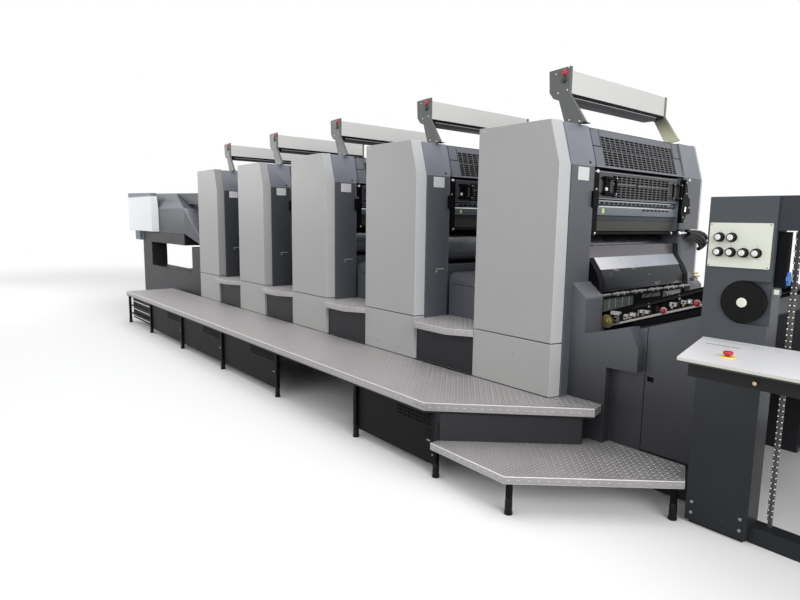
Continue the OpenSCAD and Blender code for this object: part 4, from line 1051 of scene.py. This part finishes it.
# Small parts beside the board: x and z from and to, the side away from the operator, finish
LAY_BLOCKS = (
    (0.79, 0.846, 0.936, 0.956, 0.356, PALE), (0.816, 0.848, 0.898, 0.93, 0.352, MAUVE),
    (0.85, 0.872, 0.905, 0.946, 0.36, RUBBER), (0.878, 0.902, 0.918, 0.948, 0.352, PALE),
    (0.906, 0.93, 0.925, 0.938, 0.35, STEEL), (0.912, 0.948, 0.942, 0.962, 0.358, PALE),
    (0.932, 0.952, 0.926, 0.94, 0.352, RUBBER), (0.96, 0.968, 0.946, 0.985, 0.36, STEEL),
    (0.976, 1.03, 0.97, 0.988, 0.352, PALE), (0.984, 1.004, 0.95, 0.968, 0.358, MAUVE),
    (1.066, 1.086, 0.988, 1.02, 0.36, RUBBER), (1.146, 1.186, 1.03, 1.052, 0.352, PALE),
    (1.152, 1.166, 1.016, 1.03, 0.356, STEEL), (1.19, 1.202, 1.032, 1.066, 0.36, RUBBER),
    (1.208, 1.236, 1.05, 1.07, 0.354, PALE), (1.214, 1.226, 1.034, 1.05, 0.358, BRASS),
    (1.242, 1.268, 1.054, 1.08, 0.356, STEEL), (1.328, 1.366, 1.09, 1.112, 0.354, PALE),
    (1.34, 1.352, 1.076, 1.09, 0.358, RUBBER), (1.384, 1.4, 1.09, 1.128, 0.358, STEEL))
# Round ends on them: x, z, radius, finish
LAY_ROUNDS = (
    (0.826, 0.914, 0.008, BLACK), (0.89, 0.933, 0.006, BLACK), (1.043, 0.969, 0.012, RUBBER),
    (1.001, 0.979, 0.005, BLACK), (1.166, 1.041, 0.006, RUBBER), (1.222, 1.06, 0.005, BLACK),
    (1.255, 1.067, 0.007, CHROME), (1.347, 1.101, 0.006, BLACK), (0.93, 0.952, 0.005, CHROME))


def climb(x, z, at, slope=FEED_SLOPE):
    """Height at a place on a line that climbs from (x, z)."""
    return z + (at - x) * slope


def rail(s, x0, x1, z, high, y0, y1, finish, slope=FEED_SLOPE):
    """A flat bar that climbs along the feed board's side."""
    z1 = climb(x0, z, x1, slope)
    s.prism("y", [(x0, z), (x1, z1), (x1, z1 + high), (x0, z + high)], y0, y1, finish)


def infeed():
    """Bracket, door with its latch, curved guard, feed board and the bars over it."""

    def bracket(c, n):
        cheek = 0.3302 < c.y < GUARD_Y or WIDTH - GUARD_Y < c.y < WIDTH - 0.3302
        if cheek and c.z > 1.05:
            return MAUVE if n.x > 0.5 and c.z > 1.262 and c.y < HALF else BLACK
        return BRACKET

    def guard(c, n):
        if n.x < 0.2 and n.z < 0.2:
            return DARK_PLATE
        if c.z > 1.265:
            return MAUVE
        return GUARD_FACE if c.z > 1.19 else POLISHED

    def board(c, n):
        return BLACK if n.y < -0.5 and c.y < 0.39 or n.y > 0.5 and c.y > WIDTH - 0.39 else SHEET

    # The bevels take a lighter grey as a painted highlight.
    dressed("infeed_housing", "infeed_castings", "housing_grey", bracket, bevel=0.006, segments=3,
        rim=BRACKET_HIGHLIGHT)
    dressed("infeed_door", "infeed_side_door", "housing_grey", BRACKET, body="infeed_door", bevel=0.003)
    t = Shape().boxes(0, (BLACK, 1.117, SIDE_Y + 0.0105, 0.615, 1.153, SIDE_Y + 0.0125, 0.639),
        (BLACK, 1.114, SIDE_Y - 0.002, 0.6385, 1.156, SIDE_Y + 0.004, 0.644))
    t.piece("infeed_door_latch", "housing_grey", body="infeed_door", bevel=0.0008, segments=1)
    dressed("infeed_guard", "infeed_curved_guard", "bright_steel", guard, bevel=0.002, rim=STEEL)
    dressed("feed_board", "feed_board_sheet", "feed_steel", board, bevel=0.0015)
    dressed("register_gear", "register_bars", "bright_steel", STEEL, bevel=0.001)


def lay_bar():
    """Smoked plates, pale ribs and the fluted bar below the curved guard."""
    t = Shape().boxes(0, (BLACK, 0.7, INNER, 0.925, 0.71, WIDTH - INNER, 1.036),
        (GLASS, 0.708, 0.4, 0.935, 0.716, 0.745, 1.034),
        (GLASS, 0.708, 1.14, 0.955, 0.716, 1.4, 1.034),
        (MAUVE, 0.708, 0.86, 0.99, 0.716, 1.1, 1.03))
    for y in (0.455, 0.53, 0.61, 0.69, 1.2, 1.27, 1.34):
        t.box((0.714, y, 0.955), (0.718, y + 0.004, 1.032), PALE)
    for y0, y1 in ((0.87, 0.95), (0.96, 1.04)):
        t.prism("x", [(y0, 0.992), (y0 + 0.006, 0.99), (y1, 1.022), (y1 - 0.006, 1.026)], 0.715, 0.718, BLACK)
    t.rod((0.738, INNER, 1.045), (0.738, WIDTH - INNER, 1.045), 0.009, STEEL, 16)
    t.rod((0.731, 0.386, 1.0265), (0.731, WIDTH - 0.386, 1.0265), 0.006, BLACK)
    for i in range(14):
        y = 0.43 + i * 0.072
        t.box((0.729, y, 1.034), (0.747, y + 0.01, 1.0565), PALE if i % 3 else BLACK)
    t.piece("lay_bar", "bright_steel", bevel=0.0006, segments=1)


def gear(t):
    """Brass gear wheel with a stepped hub and a steel pin."""
    teeth = []
    for i in range(TEETH):
        for r, d in ((ROOT_R, 0.1), (TIP_R, 0.32), (TIP_R, 0.62), (ROOT_R, 0.84)):
            a = 2 * pi * (i + d) / TEETH
            teeth.append((GEAR_X + r * cos(a), GEAR_Z + r * sin(a)))
    t.prism("y", teeth, 0.34, 0.352, BRASS)
    t.lathe((GEAR_X, 0.356, GEAR_Z), TO_OPERATOR, [(0.03, 0.0), (0.03, 0.016), (0.024, 0.018),
        (0.014, 0.018), (0.014, 0.026), (0.006, 0.028)], BRASS)
    t.rod((GEAR_X, 0.3845, GEAR_Z), (GEAR_X, 0.35, GEAR_Z), 0.01, STEEL, 16)


def side_lay():
    """Rails, gear wheel, red knobs and small blocks on the operator's side of the board."""
    t = Shape()
    for x0, x1, z, high, y0, y1, finish, slope in (
            (0.975, 1.446, 0.886, 0.036, 0.3, 0.344, BLACK, LAY_SLOPE),
            (0.86, 1.446, 0.888, 0.013, 0.346, 0.384, PALE, FEED_SLOPE),
            (0.86, 1.446, 0.905, 0.004, 0.35, 0.384, RUBBER, FEED_SLOPE),
            (0.756, 0.87, 0.852, 0.013, 0.35, 0.384, STEEL, LAY_SLOPE)):
        rail(t, x0, x1, z, high, y0, y1, finish, slope)
    t.tube([(x, 0.366, z) for x, z in ((0.93, 0.987), (1.0, 1.014), (1.2, 1.0905), (1.446, 1.185))],
        0.0105, RUBBER, 12)
    for x in (1.02, 1.19, 1.36):
        z = climb(0.93, 0.972, x, ROD_SLOPE)
        t.box((x, 0.358, z), (x + 0.012, 0.386, z + 0.026), STEEL)
    gear(t)
    for x, z in ((1.116, 1.0), (1.297, 1.063)):
        t.lathe((x, 0.384, z), TO_OPERATOR, [(0.01, 0.0), (0.01, 0.03), (0.02, 0.031), (0.02, 0.036),
            (0.0185, 0.037)], PALE)
        t.lathe((x, 0.347, z), TO_OPERATOR, [(0.015, -0.001), (0.015, 0.01), (0.012, 0.014), (0.004, 0.015)],
            RED)
    for x0, x1, z0, z1, y, finish in LAY_BLOCKS:
        t.box((x0, y, z0), (x1, BLOCK_FACE, z1), finish)
    for x, z, r, finish in LAY_ROUNDS:
        t.head((x, 0.362, z), TO_OPERATOR, (r, 0.012, r * 0.7, 0.0135), finish, 16, sunk=0.02)
    t.piece("side_lay_gear", "bright_steel", bevel=0.0008, segments=1)


def drive_stops():
    """Gilt stops on the drive side."""
    t = Shape()
    for y, z, out in ((1.4805, 1.13, 0.02), (1.485, 1.108, 0.03)):
        t.box((0.748, y - 0.008, z - 0.006), (0.752 + out, y + 0.05, z + 0.006), GOLD)
    t.box((0.74, 1.4715, 1.076), (0.772, 1.53, 1.0995), STEEL)
    t.piece("drive_side_stops", "bright_steel", bevel=0.0008, segments=1)


def side_lever():
    """Lever on the drive side in its black sleeve, on a chrome spindle."""
    t = Shape()
    t.rod((0.654, 1.5, 1.42), (0.69, 1.5, 1.425), 0.011, CHROME, 16)
    t.rod((0.684, 1.372, 1.418), (0.69, 1.56, 1.424), 0.0085, CHROME, 16)
    t.lathe((0.684, 1.385, 1.418), TO_OPERATOR, [(0.006, 0.0), (0.013, 0.006), (0.013, 0.018),
        (0.006, 0.024)], CHROME, 16)
    for path, r, finish, n in (
            (((0.69, 1.47, 1.432), (0.695, 1.571, 1.43), (0.702, 1.65, 1.424), (0.706, 1.706, 1.413),
                (0.706, 1.745, 1.398), (0.706, 1.764, 1.376), (0.705, 1.766, 1.352), (0.702, 1.75, 1.329),
                (0.698, 1.718, 1.312), (0.694, 1.676, 1.3)), 0.014, RUBBER, 12),
            (((0.69, 1.48, 1.398), (0.694, 1.53, 1.386), (0.7, 1.59, 1.368), (0.702, 1.65, 1.346),
                (0.698, 1.69, 1.322)), 0.01, RUBBER, 10),
            (((0.69, 1.5, 1.416), (0.696, 1.571, 1.412), (0.704, 1.64, 1.398), (0.706, 1.7, 1.374),
                (0.704, 1.73, 1.346)), 0.019, RUBBER, 12),
            (((0.692, 1.5, 1.404), (0.698, 1.58, 1.392), (0.704, 1.65, 1.37), (0.704, 1.704, 1.34)),
                0.013, RUBBER, 12),
            (((0.701, 1.5, 1.4445), (0.706, 1.571, 1.4425), (0.713, 1.65, 1.4365)), 0.003, CHROME, 6)):
        t.tube(path, r, finish, n)
    t.piece("side_lever", "guard_black", bevel=0)


# ---------------------------------------------------------------- feeder
WHEEL_X, WHEEL_Z, HUB_Y = 1.636, 1.134, 0.015
CHAIN_X, CHAIN_Y, CHAIN_FOOT = 1.8, 0.1305, 0.115
LINKS, LINK_STEP, LINK_LONG = 50, 0.0268, 0.021
KNOBS = range(1, 7)
PLATE_Y = 0.0272


def knob_place(n):
    """Middle of a knob: two columns of two, then two more to the right."""
    a, b = ((0, 1), (1, 1), (0, 0), (1, 0), (2, 0), (3, 0))[n - 1]
    return 1.514 + 0.0535 * a, 1.358 + 0.0675 * b


def feeder():
    """Columns with their rails and chains, the suction head and the pile's board."""

    def columns(c, n):
        on_chain = abs(c.x - CHAIN_X) < 0.009 and 0.1 < c.z < 1.455
        if on_chain and (c.y < 0.152 or c.y > WIDTH - 0.152):
            return CHAIN
        return FEEDER_DARK if c.x > 1.742 and c.z > 1.4 else FEEDER

    dressed("feeder_frame", "feeder_columns", "feeder_slate", columns, bevel=0.005, segments=3)
    dressed("feeder_head", "suction_head", "feeder_slate", SHEET, bevel=0.003)
    dressed("pile_board", "pile_lift_board", "pile_timber", TIMBER, body="pile_board", bevel=0.003)


def control_panel():
    """Cream plate with six knobs, each over a plain mark."""
    dressed("control_panel", "control_plate", "panel_cream", CREAM, bevel=0.0015)
    t = Shape()
    for n in KNOBS:
        x, z = knob_place(n)
        t.box((x - 0.0012, 0.0263, z + 0.029), (x + 0.0012, PLATE_Y, z + 0.0335), PANEL_RING)
    for x in (1.474, 1.722):
        for z in (1.296, 1.484):
            t.head((x, PLATE_Y, z), TO_OPERATOR, (0.0035, 0.0012, 0.0022, 0.002), STEEL)
    t.piece("panel_marks", "panel_cream", bevel=0)

    for n in KNOBS:
        x, z = knob_place(n)
        body = f"knob_{n}"
        dressed(body, f"control_knob_{n}", "knob_white", RUBBER, body=body, bevel=0.001)
        t = Shape()
        t.head((x, 0.0012, z), TO_OPERATOR, (0.0132, 0.001, 0.012, 0.0016), KNOB, 28)
        t.box((x - 0.0009, -0.0008, z + 0.004), (x + 0.0009, 0.0002, z + 0.011), PANEL_RING)
        t.piece(f"control_knob_{n}_cap", "knob_white", body=body, bevel=0)


def handwheel():
    """Black disc wheel with a raised ring and a cream hub."""
    dressed("handwheel", "handwheel_disc", "wheel_black", WHEEL, body="handwheel", bevel=0.004, segments=3)
    t = Shape()
    t.lathe((WHEEL_X, HUB_Y + 0.002, WHEEL_Z), TO_OPERATOR, [(0.02, 0.0), (0.0218, 0.002), (0.0218, 0.004),
        (0.02, 0.0055), (0.006, 0.006)], CREAM, 36)
    t.lathe((WHEEL_X, HUB_Y + 0.0085, WHEEL_Z), TO_OPERATOR, [(0.086, -0.002), (0.085, 0.002), (0.03, 0.0035),
        (0.024, 0.0045)], WHEEL, 64)
    t.piece("handwheel_hub", "wheel_black", body="handwheel", bevel=0.0006, segments=1)


def console():
    """White table over a dark tray, with its lock and the stop button on a yellow disc."""
    dressed("console_table", "console_top", "table_white", lambda c, n: TABLE if c.z > 0.928 else TRAY,
        bevel=0.006, segments=4)
    t = Shape().boxes(0, (PANEL, 1.554, -0.1225, 0.9495, 1.697, -0.1175, 0.9507))
    t.lathe((1.734, -0.34, 0.95), UP, [(0.029, -0.001), (0.029, 0.002), (0.027, 0.003), (0.0215, 0.003)],
        YELLOW, 36)
    t.boxes(0, (GRILLE, 1.5, -0.023, 0.9499, 1.74, -0.02, 0.9504))
    t.lathe((1.885, -0.462, 0.896), TO_OPERATOR, [(0.005, -0.002), (0.005, 0.004), (0.008, 0.006),
        (0.008, 0.01), (0.006, 0.012)], GOLD)
    t.piece("table_fittings", "table_white", bevel=0.0006, segments=1)
    dressed("stop_button", "stop_mushroom", "stop_red", RED, body="stop_button", bevel=0.005, segments=4)


def column_fittings():
    """Box, label and blue switch by the column, chain links with pins, and foot bolts."""
    t = Shape().boxes(0, (BLACK, 1.7405, 0.062, 1.21, 1.786, 0.1, 1.455),
        (GRILLE, 1.7405, 0.056, 1.176, 1.77, 0.078, 1.204),
        (CREAM, 1.748, 0.0545, 1.18, 1.768, 0.057, 1.202))
    t.rod((1.786, 0.081, 1.25), (1.798, 0.081, 1.25), 0.02, BLUE, 20)
    t.boxes(0, (BLUE, 1.786, 0.07, 1.222, 1.797, 0.092, 1.28))
    for i in range(LINKS):
        z = CHAIN_FOOT + i * LINK_STEP
        wide = 0.0125 if i % 2 else 0.01
        t.boxes(CHAIN_X, (CHAIN, -wide, CHAIN_Y, z, wide, 0.1352, z + LINK_LONG))
        for dx in (-0.0085, 0.0085):
            t.head((CHAIN_X + dx, CHAIN_Y, z + 0.0238), TO_OPERATOR, (0.0042, 0.003, 0.002, 0.004), BRIGHT, 8,
                sunk=0.004)
    for z in (0.06, 0.115):
        for x in (1.486, 1.71):
            t.head((x, 0.0345, z), TO_OPERATOR, (0.0085, 0.004, 0.006, 0.0055), STEEL)
    t.piece("column_fittings", "feeder_slate", bevel=0.0006, segments=1)


def far_chains():
    """Links of the chains on the drive side, and a seam on each back post."""
    t = Shape()
    for x in (CHAIN_X, 2.5):
        for i in range(LINKS):
            z = CHAIN_FOOT + i * LINK_STEP
            t.boxes(x, (CHAIN, -0.0105, WIDTH - 0.1352, z, 0.0105, WIDTH - CHAIN_Y, z + LINK_LONG))
    for y in (0.06, WIDTH - 0.06):
        t.box((2.56, y - 0.0255, 0.3), (2.65, y - 0.0235, 0.304), BLACK)
    t.piece("far_chain_links", "feeder_slate", bevel=0)


# ---------------------------------------------------------------- delivery
def delivery():
    """Side frames, hood, sloping chain guard, and the end covers, painted much lighter for the daylight on
    them, over a side box.
    """

    # Painted highlight: the chain guard's faces that slope up towards the feeder take the lighter edge grey.
    def slope(c, n):
        return HOOD_HIGHLIGHT if 0.2 < n.z < 0.95 and n.x > 0.2 else HOOD

    dressed("delivery_frames", "delivery_side_frames", "panel_charcoal", PANEL, bevel=0.004)
    dressed("delivery_hood", "delivery_level_hood", "hood_charcoal",
        lambda c, n: HOOD_SLANT if 0.2 < abs(n.z) < 0.95 else HOOD, bevel=0.004, rim=HOOD_HIGHLIGHT)
    dressed("delivery_slope", "delivery_chain_guard", "hood_charcoal", slope, bevel=0.004, rim=HOOD_HIGHLIGHT)
    dressed("delivery_end_covers", "delivery_end_sheets", "cover_grey", LIT_END_COVER, bevel=0.006, segments=3)
    t = Shape().boxes(0, (BLUE_GREY, -7.95, 0.015, 1.1, -7.68, 0.06, 1.253),
        (HOOD_SLANT, -7.93, 0.012, 1.12, -7.7, 0.0152, 1.236))
    t.rod((-7.985, 0.04, 1.125), (-7.985, 0.04, 1.2), 0.014, BLACK, 16)
    t.boxes(0, (BLACK, -7.985, 0.03, 1.155, -7.945, 0.05, 1.175))
    t.piece("delivery_side_box", "cover_grey", bevel=0.006, segments=3)


for unit in UNITS:
    for make in (covers, housing, guards, grid_trim, wash_rail, guard_fittings, ink_guard):
        make(unit)
dressed("cylinders", "blanket_cylinders", "cylinder_steel", GROUND, bevel=0.002)
for make in (beams, bed, decks, posts, skirts, footboards, infeed, lay_bar, side_lay, drive_stops,
        side_lever, feeder, control_panel, handwheel, console, column_fittings, far_chains, delivery):
    make()


# ---------------------------------------------------------------- stage, lamps, camera
FLOOR_HALF, FLOOR_PALE, FLOOR_DARK = 40, 0.82, 0.34
FADE_FROM, FADE_TO = 3.0, 8.5
ROOM_LIGHT = 0.5
FOCAL_PX, FRAME_PX, SENSOR = 584.8, 800, 36.0
EYE = (2.686, -2.842, 1.4815)
YAW, PITCH_DOWN, ROLL = radians(50.68), radians(7.76), radians(-0.8)


def studio_floor():
    """Pale floor that fades to white; it is darker for the light it throws back."""
    mesh = bpy.data.meshes.new("floor")
    corners = [(x * FLOOR_HALF, y * FLOOR_HALF, 0) for x, y in ((-1, -1), (1, -1), (1, 1), (-1, 1))]
    mesh.from_pydata(corners, [], [(0, 1, 2, 3)])
    floor = bpy.data.objects.new("studio_floor", mesh)
    bpy.context.scene.collection.objects.link(floor)
    f = Finish("studio_floor")
    path = f.add("ShaderNodeLightPath")
    seen = path.out("Is Camera Ray").math("MAXIMUM", path.out("Is Glossy Ray"))
    away = f.add("ShaderNodeVectorMath", {"operation": "LENGTH"}, {0: f.stretched(0.55, 1.1, 0)}, 1)
    dark, pale = (f.add("ShaderNodeBsdfDiffuse", None, {"Color": (grey, grey, grey, 1)})
        for grey in (FLOOR_DARK, FLOOR_PALE))
    glow = f.add("ShaderNodeEmission", None, {"Color": (1, 1, 1, 1), "Strength": 1.0})
    lit = f.add("ShaderNodeMixShader", None, {0: seen, 1: dark, 2: pale})
    mixed = f.add("ShaderNodeMixShader", None, {0: f.step(away, FADE_FROM, FADE_TO) * seen, 1: lit, 2: glow})
    f.add("ShaderNodeOutputMaterial", None, {"Surface": mixed})
    mesh.materials.append(f.mat)


def room():
    """Even world light; the camera, metal and glass see plain white."""
    world = bpy.data.worlds.new("studio")
    bpy.context.scene.world = world
    world.use_nodes = True
    world.node_tree.nodes.clear()
    w = Nodes(world.node_tree)
    path = w.add("ShaderNodeLightPath")
    seen = path.out("Is Camera Ray").math("MAXIMUM", path.out("Is Glossy Ray").math(
        "MAXIMUM", path.out("Is Transmission Ray")))
    even = w.add("ShaderNodeBackground", None, {"Color": (0.97, 0.98, 1.0, 1), "Strength": ROOM_LIGHT})
    white = w.add("ShaderNodeBackground", None, {"Color": (1, 1, 1, 1), "Strength": 1.0})
    w.add("ShaderNodeOutputWorld", None, {"Surface": w.add("ShaderNodeMixShader", None,
        {0: seen, 1: even, 2: white})})


def lamps():
    """Four soft lamps: name, place, aim, size and watts."""
    for name, place, aim, size, watts in (
            ("overhead", (0, 0, 7), (0, 0, 0), (13, 7), 430),
            ("front", (2, -9, 4), (1, 0, 1), (10, 5), 215),
            ("delivery_side", (-8, -5, 3), (-5.2, -1, 1.3), (3, 2), 150),
            ("feeder_side", (10, -3, 4), (3, 0, 1), (6, 4), 440)):
        lamp = bpy.data.lights.new(name, "AREA")
        lamp.shape, lamp.size, lamp.size_y, lamp.energy = "RECTANGLE", *size, watts
        ob = bpy.data.objects.new(name, lamp)
        ob.location = place
        ob.rotation_euler = (Vector(aim) - Vector(place)).to_track_quat("-Z", "Y").to_euler()
        bpy.context.scene.collection.objects.link(ob)


def camera():
    """The photograph's angle, solved from the five like covers."""
    ahead = Vector((-sin(YAW) * cos(PITCH_DOWN), cos(YAW) * cos(PITCH_DOWN), -sin(PITCH_DOWN)))
    right = Vector((cos(YAW), sin(YAW), 0))
    down = ahead.cross(right)
    right, down = right * cos(ROLL) + down * sin(ROLL), down * cos(ROLL) - right * sin(ROLL)
    lens = bpy.data.cameras.new("camera")
    lens.sensor_width, lens.lens = SENSOR, FOCAL_PX / FRAME_PX * SENSOR
    lens.clip_start, lens.clip_end = 0.05, 100
    ob = bpy.data.objects.new("camera", lens)
    turn = Matrix((right, -down, -ahead)).transposed().to_4x4()
    ob.matrix_world = Matrix.Translation(TO_FINAL @ Vector(EYE)) @ turn
    bpy.context.scene.collection.objects.link(ob)
    bpy.context.scene.camera = ob


studio_floor()
room()
lamps()
camera()
bpy.context.scene.view_settings.view_transform = "Standard"
